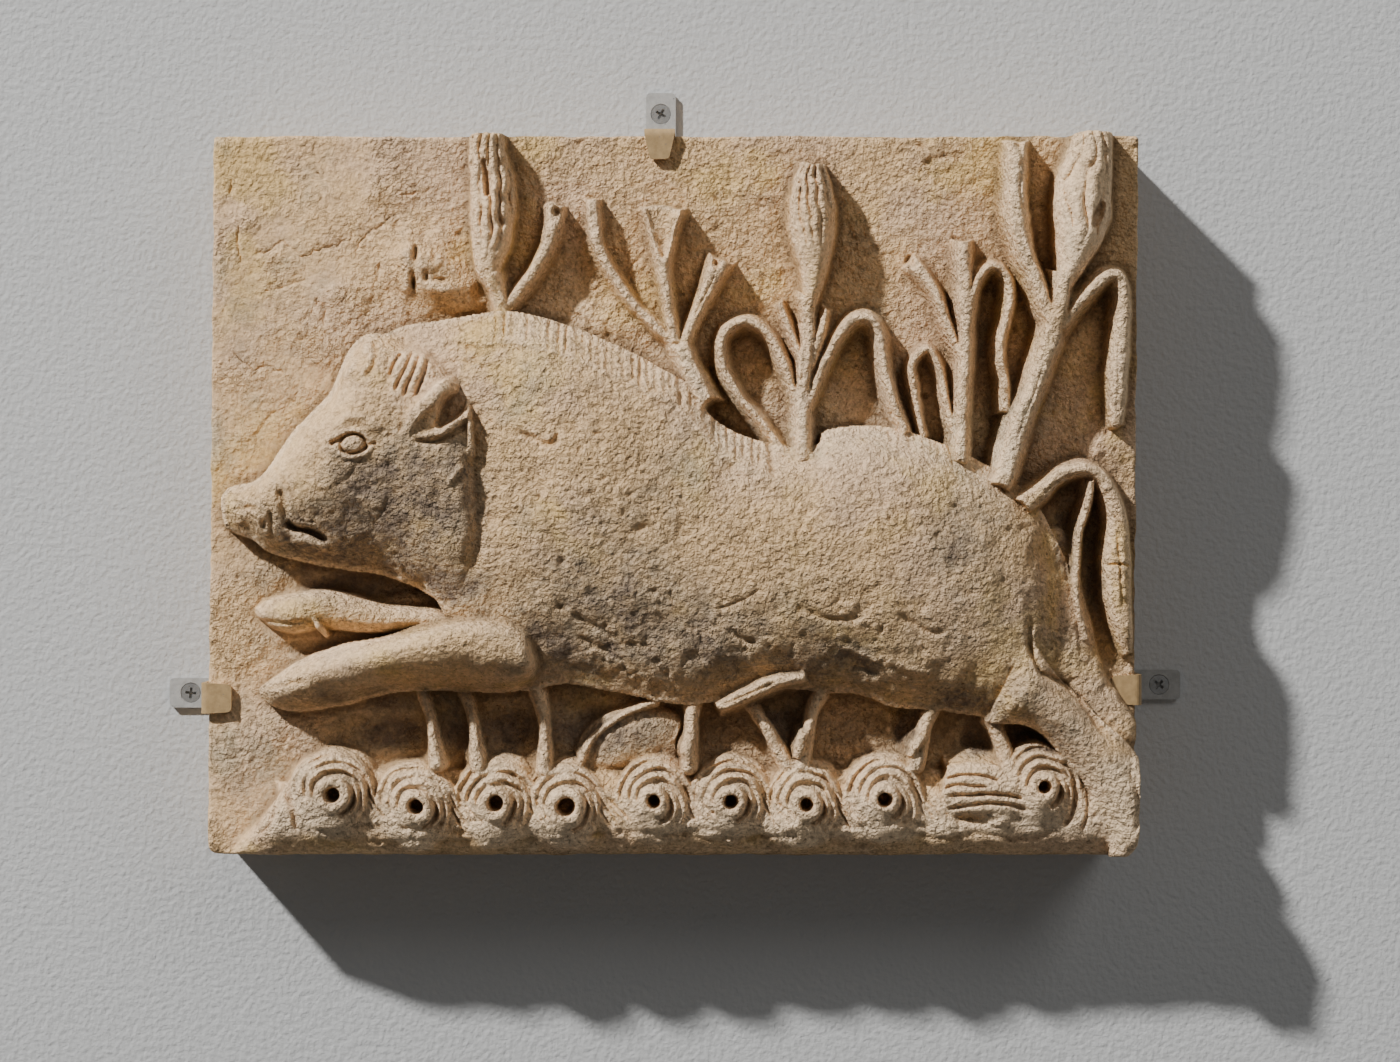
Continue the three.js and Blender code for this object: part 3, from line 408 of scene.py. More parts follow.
for rows in STEMS:
    stem, _ = limb(rows)
    surface = blend(surface, stem, 2.5)
print(len(STEMS), "stems and leaves")

# %% [markdown]
# The middle leaf of the second plant opens like a trumpet, with a hollow face. Some leaf tips are
# notched where they broke, and fine cuts run along the widest leaves.

# %% Hollow leaf, notches and vein cuts
TRUMPET_FACE = [[-4.5, 99, 1.2, 10], [-5, 108, 3.6, 8.5], [-5, 119, 7, 7.5]]
NOTCHES = [(17, 95.5), (-49, 117), (98, 96.5), (142, 144)]
hollow(surface, TRUMPET_FACE, steep=2)
for x, z in NOTCHES:
    dab(surface, x, z, 1.6, 2.2, -5)
VEINS = [
    [[139, 118], [143, 104], [148, 90]], [[142.5, 140], [142, 122], [146, 104]],
    [[183, 70], [183, 50], [182, 34]], [[118, 98], [118.5, 84], [119, 70]], [[16, 90], [11, 80], [7, 72]],
    [[-30, 110], [-25, 94], [-16, 80]], [[54, 76], [53.5, 60], [53, 42]], [[152, 55], [146, 38], [139, 20]],
    [[30, 70], [24, 68], [21, 60]], [[137, 84], [134, 62], [136, 46]],
]
for places in VEINS:
    stroke(surface, places, 0.7, 0.9)
print(len(VEINS), "vein cuts")

# %% [markdown]
# A bud is a fat limb with flutes along it. The path's own measure of "how far across" tells
# every place which flute it lies in, so the flutes close up toward both ends by themselves. Two
# buds have split open along a flute.

# %% Buds with flutes
BUDS = [
    [[-74, 84, 2.8, 14], [-77, 95, 6, 16], [-76, 110, 8.6, 17], [-76, 126, 9.2, 17],
     [-78, 141, 7.6, 16], [-78, 156, 6.5, 14]],
    [[56, 79, 2.8, 16], [57.5, 92, 5.4, 19], [57, 105, 9, 22], [56.5, 118, 9.6, 22],
     [56.5, 129, 7.6, 20], [56.8, 135, 5, 18]],
    [[160, 84, 3, 20], [164, 97, 6.5, 21], [168, 112, 11, 23], [169, 126, 11.6, 23],
     [171.5, 139, 9.6, 22], [174, 152, 7, 20]],
]
BUD_SPLITS = [
    [[176, 119, 1.2, 17], [174.5, 115, 1.6, 16], [173, 111, 1, 17]],
    [[-79, 137, 0.8, 12], [-78, 131, 1.1, 11], [-77, 124, 0.8, 12]],
]
FLUTES = 4
FLUTE_DEPTH = 2.9
for rows in BUDS:
    bud, info = limb(rows, rounding=0.55, slope=5, per_span=8)
    area = info["area"]
    sway = info["across"] + 0.34 * noise(12, 33)[area] + 0.1 * noise(3.5, 34)[area]
    crest = np.abs(np.sin(math.pi * FLUTES * (sway + 1) / 2)) ** 0.5
    fade = step_up(info["share"], 0.2, 0.45) * np.clip(0.8 + 0.7 * noise(8, 35)[area], 0.15, 1.4)
    rough_skin = 0.7 * noise(2.4, 36)[area] + 0.5 * noise(5, 37)[area]
    bud[area] -= np.where(bud[area] > 0, (FLUTE_DEPTH * (1 - crest) - rough_skin) * fade, 0)
    surface = blend(surface, bud, 2)
for rows in BUD_SPLITS:
    hollow(surface, rows)
reeds = step_up(surface, 7, 11)
print(len(BUDS), "buds with", FLUTES, "flutes each")

# %% [markdown]
# ## The boar
# The trunk is a wide cushion between the mane's crest and the belly. The head stands a finger's
# breadth over the neck, with a hard edge, while the legs melt into the trunk. So the head is
# laid on with almost no blend, and the legs with a wide one.

# %% Trunk, legs, jaw and head
TRUNK = [
    [-124, 64, -112, -25, 25, 16, 15], [-110, 69, -95, -48, 27, 16, 16], [-92, 71.5, -80, -70, 28.5, 16, 15],
    [-70, 75, -64, -81, 32, 16, 13], [-50, 71, -46, -78, 35.5, 15, 13], [-28, 63, -22, -82, 36, 14, 12],
    [-10, 54, -2, -86, 34.5, 13, 12], [6, 45, 12, -85.5, 34, 13, 12], [16, 31, 24, -83, 34, 13, 12],
    [28, 24, 36, -81, 35, 14, 12], [43, 19.5, 48, -80, 36.5, 14, 12], [58, 19.5, 58, -81, 37, 14, 12],
    [62, 26, 63, -81.5, 37.5, 14, 12], [76, 28.5, 77, -83, 37.5, 13, 12], [91, 27, 92, -88, 37, 12, 12],
    [110, 21, 108, -89, 35, 12, 13], [128, 12.5, 126, -91, 32, 11, 14], [144, 2, 143, -93, 27, 8, 15],
    [154, -10, 156, -98, 18, 5, 14], [165, -30, 169, -98, 8, 2, 9],
]
HEAD = [
    [-188.5, 0, -188, -13, 11, 7, 5], [-184, 3.5, -184, -16, 17, 9, 6], [-174, 5, -175, -18.5, 23, 11, 8],
    [-168, 10, -168, -24, 27, 12, 9], [-158, 25, -156, -27, 31, 12, 12], [-149, 34, -145, -29, 35, 12, 13],
    [-141, 43, -134, -30.5, 37, 12, 14], [-134, 60, -121, -32.5, 38, 12, 14],
    [-124, 66, -108, -37, 38.5, 14, 15], [-112, 62, -97, -44, 39, 20, 16], [-101, 58, -89, -49, 39, 26, 18],
    [-91, 48, -84, -42, 38, 31, 21], [-83, 32, -79.5, -24, 36.5, 34, 26],
    [-80.5, 10, -78.5, -8, 35, 33, 31],
]
LOWER_JAW = [
    [-175, -46.5, -174.5, -50, 5, 3, 3], [-169, -43, -168, -55.5, 10, 5, 5],
    [-160, -41.5, -159, -58, 13, 6, 6], [-147, -39.5, -147, -56, 14, 7, 7],
    [-134, -41.5, -134, -57, 14, 7, 7], [-121, -45.5, -122, -57, 14, 8, 8],
    [-104, -47, -106, -56, 15, 9, 9], [-90, -48, -92, -56, 18, 12, 12],
]
FORELEG = [
    [-172, -79.5, -171.5, -84, 10, 5, 4], [-166, -75, -166, -88, 17, 8, 5],
    [-156, -69, -156, -90.5, 23, 9, 6], [-140, -63, -141, -88, 27, 10, 7],
    [-122, -59.5, -122, -83, 30, 12, 8], [-104, -54, -104, -81, 33, 15, 9],
    [-86, -49.5, -87, -81, 35, 20, 11], [-71, -50.5, -74, -81, 35.5, 25, 14],
    [-61, -56.5, -65, -80, 35, 28, 18], [-57, -67, -59, -76, 34, 29, 24],
]
HIND_LEG = [
    [146, -62, 132, -92, 31, 26, 23], [154, -74, 145, -93, 29, 22, 22], [164, -83, 155, -99, 27, 19, 21],
    [175, -94, 163, -108, 26, 17, 19], [186, -104, 169, -116, 25, 18, 18],
    [194, -116, 173, -123, 24, 18, 17], [198, -130, 177, -131, 23, 17, 16],
    [198, -140, 180, -139, 21, 15, 14], [198, -152, 181, -152, 18, 12, 13],
]

trunk = soften(body(TRUNK, fullness=2.8, edge=12, crest=0.44), 5)
head = soften(body(HEAD, fullness=2.2, edge=10, crest=0.34), 3)
jaw = body(LOWER_JAW, fullness=2.2, edge=5)
foreleg = soften(body(FORELEG, fullness=2.2, edge=7, crest=0.32), 2)
hind_leg = soften(body(HIND_LEG, fullness=2.4, edge=6), 4)
print("crown of the head", head.max().round(1), "mm over the ground")

# %% [markdown]
# ## Mane and hide
# The mane is a low band along the crest, cut with short strokes side by side. The same short
# strokes mark the rump. Longer strokes on the flank show folds of skin, and a deep crease parts
# the thigh from the rump. Each stroke gets its own small error in place, length and depth.

# %% The mane
MANE_EDGE = np.array([
    (-78, 73.5), (-66, 75), (-60, 73), (-50, 71), (-40, 69), (-35, 66), (-28, 63), (-20, 60), (-15, 57),
    (-10, 54), (0, 50), (6, 45), (10, 39), (16, 31), (28, 24), (43, 19), (58, 20), (64, 26), (76, 28.5),
    (91, 27), (97, 25), (110, 21), (128, 12.5), (140, 6)])
MANE_BAND = 14.5
HAIRS = [(-74, 40, 3.3, 12, 1.5), (88, 114, 3.4, 9, 1.1), (114, 138, 4.2, 10, 0.7)]
hand = np.random.default_rng(5)

below_crest = np.interp(X, MANE_EDGE[:, 0], MANE_EDGE[:, 1]) - Z
band = 1 - step_up(below_crest + 1.2 * noise(6, 90), MANE_BAND - 1.2, MANE_BAND + 1.2)
trunk += 1.3 * band * is_between(-80, 38)
for first, last, spacing, length, depth in HAIRS:
    for x in np.arange(first, last, spacing):
        x += hand.normal(0, 0.5)
        top = np.interp(x, MANE_EDGE[:, 0], MANE_EDGE[:, 1]) + 2
        foot = top - length * hand.uniform(0.8, 1.25) - 2
        lean = hand.normal(0.6, 0.7)
        places = [[x, top], [x + 0.4 * lean, (top + foot) / 2], [x + lean, foot]]
        stroke(trunk, places, hand.uniform(0.8, 1.25), depth * hand.uniform(0.6, 1.3), open_start=True)
print("crest carved from", MANE_EDGE[0, 0], "to", MANE_EDGE[-1, 0])

# %% Folds of the hide
FOLDS = [
    ([[-42, -48], [-32, -54], [-22, -60]], 1.6, 1.5), ([[-40, -57], [-30, -63], [-20, -69]], 1.5, 1.3),
    ([[20, -55], [27, -58.5], [35, -61]], 1.6, 1.3),
    ([[50, -45], [60, -50], [70, -51], [76, -49.5]], 1.6, 1.5),
    ([[91, -49], [98, -53], [104, -56], [110, -55.5]], 1.7, 1.6),
    ([[72, -70.5], [78, -72], [84, -74]], 1.6, 1.6), ([[12, -48], [25, -44], [30, -41], [35, -38]], 0.7, 0.9),
    ([[-66, 26], [-58, 23], [-52, 20], [-48, 22], [-48, 26]], 1.5, 1.8),
    ([[68, -62], [76, -65], [84, -69]], 2.4, -1.5), ([[85, -68], [95, -71], [105, -74]], 2.4, -1.5),
    ([[-60, 10], [-50, -8], [-46, -28]], 5, 0.9), ([[0, 20], [6, -10], [4, -40]], 7, 1.0),
    ([[128, -8], [134, -30], [136, -50]], 5, 0.9), ([[-90, 62], [-80, 60], [-70, 61]], 1.4, 0.9),
]
HIDE_DENTS = [(-27, -62), (-18, -61.5), (-34, -40), (8, -66), (118, -40), (62, -8)]
for places, width, depth in FOLDS:
    stroke(trunk, places, width, depth)
trunk += 0.9 * noise(16, 93) + 0.55 * noise(7.5, 94)
head += 0.5 * noise(12, 95) + 0.35 * noise(6, 96)
for x, z in HIDE_DENTS:
    dab(trunk, x, z, 3.4, 2.2, -1.0)
print(len(FOLDS), "folds")

# %% [markdown]
# ## The boar's face
# The ear is a leaf shape: a thick ridge in front, a thinner one below, a rim behind and a deep
# pit between them. The far ear shows as a plain lump over the brow, and the forelock is four
# thick locks. The eye is a ball in a cut ring, cut deepest at its front corner. A slot marks the
# lip, and a small pit the nostril.

# %% Ears and forelock
EAR_RIDGES = [
    [[-134.5, 50, 3, 1.5], [-132, 55, 4, 2.5], [-128.5, 60.5, 4, 2.5], [-125.5, 64.5, 3, 1.5]],
    [[-112, 42, 3, 1.2], [-109, 49, 6, 2.4], [-106, 56, 6, 2.8], [-104, 62, 3, 2.4]],
    [[-109.5, 24, 2, 0.6], [-104.5, 32.5, 3, 3.4], [-97, 39.5, 3.6, 5.4], [-91, 45, 3.2, 5.4],
     [-87, 48.5, 2.2, 4.0]],
    [[-99, 23.5, 1.2, 0.8], [-94.5, 24.6, 1.8, 2.6], [-90, 27.8, 2, 3.2], [-84.8, 31.8, 1.6, 2.6]],
    [[-85.5, 47, 1.6, 3.4], [-83.6, 38, 1.5, 3], [-82.8, 29, 1.6, 2.4], [-82.6, 17, 1.6, 1.2]],
]
EAR_PIT = [[-95, 28.4, 1.0, 31], [-92, 32.5, 2.2, 26], [-88.6, 37, 2.7, 24], [-86.2, 42, 1.4, 27]]
FORELOCK_CUTS = [
    [[-106.5, 58], [-110, 50], [-113.5, 41.5]], [[-103.8, 57], [-106.5, 49], [-110, 39.5]],
    [[-100.6, 55], [-102.4, 47.5], [-105.6, 39]], [[-111, 57], [-114, 53], [-116, 47.5]],
]
EAR_CUTS = [
    ([[-105, 21.5], [-97, 20.4], [-90, 23], [-84.5, 28]], 1.2, 2.4),
    ([[-123.5, 62.5], [-121.5, 57], [-122.5, 51], [-126, 47.5]], 1.5, 2.0),
    ([[-112, 24], [-107, 33], [-100, 41.5]], 1.3, 1.0),
]
for rows in EAR_RIDGES:
    ridge(head, rows)
dab(head, -128.8, 57, 2.6, 4.6, -3.2)
hollow(head, EAR_PIT, steep=4)
for places in FORELOCK_CUTS:
    stroke(head, places, 0.9, 2.6, fade=0.15)
for places, width, depth in EAR_CUTS:
    stroke(head, places, width, depth, fade=0.15)
print("ears and", len(FORELOCK_CUTS), "locks")

# %% Eye, nostril and lip
EYE = (-130.2, 20.3)
EYE_HALF = (4.3, 3.4)
RIM_CUT = 2.3
BALL_RISE = 1.3
LID_RISE = 1.0
area = window(EYE[0] - 12, EYE[0] + 12, EYE[1] - 12, EYE[1] + 12)
reach = np.hypot((CARVE_X[area] - EYE[0]) / EYE_HALF[0], (CARVE_Z[area] - EYE[1]) / EYE_HALF[1])
head[area] -= RIM_CUT * np.exp(-(((reach - 1.18) / 0.17) ** 2))
ball = BALL_RISE * np.sqrt(np.clip(1 - reach**2, 0, 1))
lid = LID_RISE * np.exp(-(((reach - 1.6) / 0.27) ** 2))
head[area] += ball + lid

FACE_CUTS = [
    ([[-140, 20.5], [-137, 21.6], [-134, 23.6]], 1.3, 3.6),
    ([[-126, 17.5], [-123.5, 20], [-121, 20.6]], 0.9, 1.8),
    ([[-138, 26.5], [-132, 31.5], [-124, 30.5], [-119, 26]], 3.0, -1.3),
    ([[-181, -5.5], [-175, -5], [-170, -5.5]], 1.2, 1.7),
    ([[-165.5, -6], [-165.5, -12], [-167, -18]], 1.3, 1.5),
    ([[-161, 2], [-160, -4], [-158.5, -10]], 2.2, 2.2),
    ([[-159.5, -11], [-155, -14], [-149, -15], [-142, -18.6]], 1.7, 5.5),
    ([[-157, -18], [-150, -19.6], [-142, -22]], 2.4, -1.6), ([[-186, 1], [-187, -8], [-186, -16]], 1.6, -1.2),
    ([[-165, 12], [-158, 4], [-154, -3]], 1.5, 0.9), ([[-150, 27], [-145, 16], [-146, 6]], 3.5, 0.9),
    ([[-118, 14], [-112, 5], [-112, -8]], 4, 0.9), ([[-86, 12], [-89, 8], [-92, 4]], 1.6, -1.4),
    ([[-128, 12], [-133, 6], [-140, 3]], 1.4, 0.8), ([[-99, 16], [-96, 4], [-98, -10]], 3, 0.7),
]
for places, width, depth in FACE_CUTS:
    stroke(head, places, width, depth, fade=0.2)
dab(head, -168.6, -12.5, 1.3, 2.0, -2.2)
stroke(jaw, [[-172, -52], [-160, -53.5], [-152, -52]], 1.2, 1.2)
stroke(foreleg, [[-170, -80], [-160, -77.5], [-150, -76]], 1.4, 1.4)
print(len(FACE_CUTS), "cuts and ridges on the face")

# %% [markdown]
# The tail hangs over in an arc and ends in a long tuft, with a thin strand beside it. Between
# belly and waves the carver left struts of stucco standing, and a low mound behind them.

# %% Tail, sheath, struts and mound
TAIL = [
    [143, -4, 4.5, 24], [150, 1, 4, 21], [157, 6.5, 3.2, 20], [165, 10.2, 3, 20], [173, 9, 3, 20],
    [179, 2.5, 3.4, 19], [182.5, -10, 4.2, 18], [183, -28, 5.5, 18], [183.5, -44, 4.8, 17],
    [185.5, -56, 3.6, 15], [187.5, -65, 2, 10],
]
TAIL_STRAND = [
    [171.5, 6, 1.8, 18], [170.5, -4, 1.7, 17], [167, -15, 1.6, 17], [166, -30, 1.6, 16],
    [166.5, -45, 1.6, 15], [170, -60, 1.6, 9],
]
SHEATH = [[18, -87, 2.5, 15], [28, -82.5, 3.2, 20], [40, -77, 3, 24.5], [52, -75, 2.4, 26]]
TUSK = [[-149, -51, 1.6, 13], [-147, -55, 2, 14], [-145, -58, 1.2, 11]]
STRUTS = [
    [[-104, -82, 3.6, 9], [-101, -94, 2.6, 12], [-98, -111, 4.6, 17]],
    [[-87, -82, 3.6, 9], [-83.5, -95, 2.6, 12], [-81, -112, 4.4, 17]],
    [[-57, -82, 4.4, 11], [-54, -96, 2.8, 14], [-54, -114, 4.4, 17]],
    [[-40, -112, 2.4, 11], [-34, -101, 1.8, 11], [-22, -91, 1.6, 11], [-8, -86, 2.4, 11]],
    [[7, -86, 4.4, 11], [6.5, -94, 3.2, 14], [6, -112, 4.4, 18]],
    [[30, -84, 3.6, 11], [38, -97, 2.8, 14], [46, -112, 4, 16]],
    [[60, -82, 4.4, 12], [56, -93, 3.2, 14], [52, -112, 4.6, 17]],
    [[107, -88, 4.4, 13], [103, -97, 3.4, 14], [99, -112, 4.6, 17]],
    [[131, -92, 5, 14], [135, -101, 3.8, 14], [139, -115, 5.4, 16]],
]
FLANK = [[157, -22, 9, 9], [161, -48, 11, 11], [168, -76, 11, 13], [184, -98, 9, 14]]
MOUND = [[-38, -112, 7, 6], [-26, -104, 13, 10], [-12, -100, 14, 10], [0, -101, 10, 7]]

surface = blend(surface, limb(MOUND, rounding=1)[0], 4)
for rows in STRUTS:
    surface = blend(surface, limb(rows, rounding=0.8, slope=1.8, cut_ends=False)[0], 6)
surface = blend(surface, limb(TAIL, rounding=0.35, slope=5)[0], 2.5)
surface = blend(surface, limb(TAIL_STRAND, rounding=0.35, slope=5)[0], 2)
surface = blend(surface, trunk, 3)
surface = blend(surface, limb(FLANK, rounding=1, slope=1.0, cut_ends=False)[0], 8)
surface = blend(surface, hind_leg, 14)
surface = blend(surface, jaw, 2)
surface = blend(surface, limb(TUSK, rounding=0.7, slope=5, cut_ends=False)[0], 2.5)
surface = blend(surface, foreleg, 4)
surface = blend(surface, limb(SHEATH, rounding=0.3)[0], 6)
surface = blend(surface, head, 1)
print("highest place now", surface.max().round(1), "mm")

# %% [markdown]
# Three struts have a thicker stump on them, where they broke. The crease between thigh and rump
# is cut after the leg is joined on, so it runs unbroken down to the hoof.

# %% Creases of the thigh, leaf cuts on the tail and broken struts
LATE_CUTS = [
    ([[146, -50], [145.5, -60], [147, -67], [150, -73], [155, -75.5], [160, -78], [165, -83], [170, -89],
      [175, -96], [180, -101]], 1.4, 3.2),
    ([[182, -14], [183.5, -30], [184, -46]], 0.8, 1.2), ([[178, -29], [183, -28.5], [188, -29.5]], 0.7, 1.6),
    ([[150, 0], [157, 5], [165, 8.5], [172, 7.5]], 0.7, 0.9), ([[20, -86], [31, -81], [42, -76]], 0.8, 1.3),
    ([[186, -112], [190, -124], [190, -138]], 1.6, 1.4),
]
for places, width, depth in LATE_CUTS:
    stroke(surface, places, width, depth, fade=0.15)
STUMPS = [
    [[6, -100, 2.2, 21], [5.5, -105, 3.4, 22], [7, -111, 2.6, 19]], [[53, -99, 2.4, 20], [51.5, -104, 3, 20],
     [50, -109, 2, 18]], [[101.5, -100, 2, 19], [99, -104, 2.6, 19], [97, -108, 1.6, 17]],
]
for rows in STUMPS:
    surface = blend(surface, limb(rows, rounding=0.5)[0], 2)
print(len(LATE_CUTS), "late cuts,", len(STUMPS), "stumps")

# %% [markdown]
# ## The waves
# The waves are a row of scrolls on a sloping bank. In each scroll a drilled eye has a low ring
# round it, and grooves wind outward over the upper half. A spiral is a circle whose radius grows
# with its angle, so the groove that a place lies in follows from its distance and angle alone.

# %% Scrolls with drilled eyes
WAVE_EYES = [
    (-141, -123.5, 3.4), (-106.5, -128, 3.2), (-74, -127, 3.5), (-45, -128, 4.0), (-8.5, -126, 3.1),
    (23, -126, 3.1), (53.5, -127.5, 3.0), (86.5, -125.5, 3.3), (152, -120, 2.8),
]
WAVE_RADIUS = 17.0
WAVE_HEIGHT = 22.0
WAVE_DROP = 8.0
RING_WIDTH = 3.9
RING_RISE = 1.2
WINDING = 7.4
GROOVE_SPACING = 3.7
GROOVE_DEPTH = 3.3
FIRST_TURN_DEPTH = 3.2
EYE_DEPTH = 13.0
FLOW_LINES = 4
WAVE_BED = [
    [-166, -126, -186, -149.5, 3, 2, 1], [-160, -117, -172, -151, 14, 8, 3],
    [-148, -114, -150, -151, 15, 7, 3], [-60, -114, -60, -151, 15, 7, 3],
    [40, -114, 40, -151, 15, 7, 3], [130, -114, 130, -151, 15, 7, 3],
    [176, -112, 172, -151, 16, 9, 3], [194, -112, 194, -151, 16, 10, 3],
]
LONG_WAVE = [[112, -121, 9, 17], [122, -122, 12, 20], [134, -123, 12, 20], [144, -122, 10, 19]]


def scroll(x, z, eye_radius, seed):
    """One wave: a mound with a ring round a drilled eye, and grooves that wind out over the top."""
    reach = WAVE_RADIUS + 12
    area = window(x - reach, x + reach, z - reach, z + reach)
    sideways, up = CARVE_X[area] - x, CARVE_Z[area] - z
    plain_radius = np.hypot(sideways, up)
    radius = plain_radius + 0.9 * noise(9, seed)[area] + 0.35 * noise(3.5, seed + 20)[area]
    turn = (np.arctan2(up, -sideways) / (2 * math.pi) + 0.3) % 1 - 0.3
    from_ring = radius - eye_radius - RING_WIDTH
    mound = WAVE_HEIGHT - WAVE_DROP * np.clip(radius / WAVE_RADIUS, 0, 1) ** 2.0
    ring = RING_RISE * np.exp(-(((radius - eye_radius - RING_WIDTH / 2) / 1.9) ** 2))
    phase = (from_ring - WINDING * turn) / GROOVE_SPACING
    groove = (0.5 + 0.5 * np.cos(2 * math.pi * phase)) ** 1.2
    shown = step_up(from_ring, -0.8, 0.4) * step_up(turn, -0.1, 0.06) * (1 - step_up(turn, 0.56, 0.7))
    shown = shown * (0.8 + 0.45 * noise(5, seed + 40)[area])
    first_turn = np.exp(-(((from_ring - 2.2 * turn) / 0.85) ** 2)) * step_up(turn, 0.08, 0.3)
    relief = mound + ring - GROOVE_DEPTH * np.clip(groove * shown, 0, 1) - FIRST_TURN_DEPTH * first_turn
    relief -= EYE_DEPTH * (1 - step_up(plain_radius, eye_radius - 1.5, eye_radius + 0.3))
    past = np.clip(radius - WAVE_RADIUS, 0, None)
    shaped = np.full(X.shape, NOTHING)
    shaped[area] = relief - past * np.where(up > 4, 4.0, 1.5)
    return shaped, area, plain_radius < eye_radius + 1.5


waves = body(WAVE_BED, fullness=2)
waves = blend(waves, limb(LONG_WAVE, rounding=0.4, slope=2)[0], 3)
eyes = []
for number, (x, z, eye_radius) in enumerate(WAVE_EYES):
    drum, area, eye = scroll(x, z, eye_radius, 140 + number)
    eyes.append((area, eye, drum[area]))
    waves = blend(waves, drum, 2)
for number, (x, z, eye_radius) in enumerate(WAVE_EYES[:-1]):
    for j in range(FLOW_LINES):
        start_x, drift = x + 9.5 + 2.3 * j, hand.normal(0, 0.5)
        middle, end = [start_x + 4.5, z - 2 + drift], [start_x + 10 + j * 0.6, z - 11 + j]
        places = [[start_x, z + 9 - 2 * j], middle, end]
        stroke(waves, places, 0.75, 1.5 * hand.uniform(0.6, 1.3), fade=0.3)
for area, eye, drum in eyes:
    waves[area] = np.where(eye, np.minimum(waves[area], drum), waves[area])
print(len(WAVE_EYES), "scrolls, eyes", EYE_DEPTH, "mm deep")

# %% [markdown]
# Between the last two scrolls one wave is drawn out long and has level grooves. Shallow ripples
# run along the bank under the scrolls, and some scrolls have a broken lump or dent at their foot.

# %% Long wave, ripples and breaks
WAVE_CUTS = [
    ([[111, -117.5], [118, -115.5], [126, -115.5], [134, -117.5]], 1.0, 2.6),
    ([[110.5, -121], [118, -119.3], [129, -120]], 0.9, 2.2),
    ([[112, -124], [122, -123], [134, -123], [144, -125]], 1.1, 2.8),
    ([[112, -129], [124, -127], [136, -127], [146, -129.5]], 1.1, 2.6),
    ([[160, -112], [164, -120], [164, -130], [161, -137]], 1.0, 2.4),
    ([[167, -112], [170.5, -121], [170, -132], [168, -138]], 1.0, 2.0),
    ([[-162, -122], [-158, -130], [-157, -138]], 1.2, 1.8),
    ([[-166, -128], [-167, -135], [-172, -140]], 1.1, 1.4),
]
RIPPLES = [
    (-152, -60, -137.5), (-58, 44, -138), (46, 108, -137.5), (-130, -20, -142), (-10, 90, -142.5),
    (100, 170, -139),
]
BANK_LUMPS = [
    (48, -136, 4, 3, 2.5), (52, -141, 3, 2.5, 2), (122, -133, 7, 2.4, -3), (134, -135, 4, 2, 2.2),
    (-88, -139, 4, 2, -2), (70, -138, 4, 2, 1.8),
]
for places, width, depth in WAVE_CUTS:
    stroke(waves, places, width, depth, fade=0.15)
for first, last, level in RIPPLES:
    bends = np.arange(first, last, 12)
    stroke(waves, [[x, level + hand.normal(0, 1.6)] for x in bends], 1.6, 0.8, fade=0.05)
for x, z, wide, high, amount in BANK_LUMPS:
    dab(waves, x, z, wide, high, amount)
surface = blend(surface, waves, 2.5)
print(len(WAVE_CUTS) + len(RIPPLES), "cuts in the waves")

# %% [markdown]
# ## Weathering
# Old stucco is not evenly rough. Here the brow, the ear and the foreleg are still smooth, the
# hide is granular and pitted, and the ground at the left has smooth plateaus with crumbled bands
# between them. We first say how rough each place is, then add grain and pits by that map, and
# scratches and cracks over it. Grain finer than a millimetre is left to the material.

# %% How rough each place is
SMOOTH_PLACES = [
    (-137, 40, 16, 18), (-97, 42, 17, 14), (-158, 14, 14, 16), (-128, -68, 42, 12), (-106, 52, 10, 12),
    (56, 104, 12, 22), (168, 118, 16, 26), (-76, 112, 12, 24), (-168, -50, 10, 8),
]
stem_level = step_up(surface, 4, 9)
bands = step_up(noise(26, 200) + 0.55 * noise(9, 201), 0.05, 0.5)
old_skin = 1 - step_up(X + 12 * noise(30, 202), -110, -78)
rough = (0.85 - 0.6 * old_skin) * (1 - bands) + 1.1 * bands
rough = rough + (1.0 - rough) * stem_level + 0.8 * rough_ground
smooth = np.zeros(X.shape)
for x, z, wide, high in SMOOTH_PLACES:
    dab(smooth, x, z, wide, high, 1, power=3)
smooth = np.clip(smooth, 0, 1)
rough = np.clip(rough * (1 - 0.72 * smooth), 0.15, 1.5)
print("roughness from", rough.min().round(2), "to", rough.max().round(2))

# %% Grain and pits
grain = 0.3 * noise(1.8, 210) + 0.26 * noise(2.7, 211) + 0.4 * noise(5.2, 212) + 0.5 * noise(12, 213)
clusters = step_up(noise(13, 217) + 0.4 * noise(5, 218), 0.1, 0.7)
pitted = clusters * np.clip(noise(2.0, 214) - 0.35, 0, None)
crumbs = np.clip(noise(1.9, 216) - 0.5, 0, None) * bands
surface += rough * (grain - 1.3 * pitted + 0.6 * crumbs)

PITS = 420
for _ in range(PITS):
    x, z = hand.uniform(-190, 190), hand.uniform(-146, 146)
    row, column = int((z / HEIGHT + 0.5) * (ROWS - 1)), int((x / WIDTH + 0.5) * (COLUMNS - 1))
    if rough[row, column] > hand.uniform(0.3, 1.0):
        size = hand.uniform(0.5, 0.8) + 0.7 * hand.uniform() ** 6
        dab(surface, x, z, size, size * hand.uniform(0.6, 1.3), -size * hand.uniform(0.6, 1.3))
print(PITS, "places tried for pits")

# %% Scratches and chisel marks
MARKS = 150
for _ in range(MARKS):
    x, z = hand.uniform(-188, 188), hand.uniform(-146, 146)
    angle, length = hand.normal(1.1, 0.7), hand.uniform(4, 16)
    bend = hand.normal(0, 0.1) * length
    run, rise = math.cos(angle) * length / 2, math.sin(angle) * length / 2
    places = [[x - run, z - rise], [x + bend, z - bend], [x + run, z + rise]]
    stroke(surface, places, hand.uniform(0.5, 1.0), hand.choice([0.35, 0.3, -0.3]) * hand.uniform(0.4, 1.4))
print(MARKS, "marks")

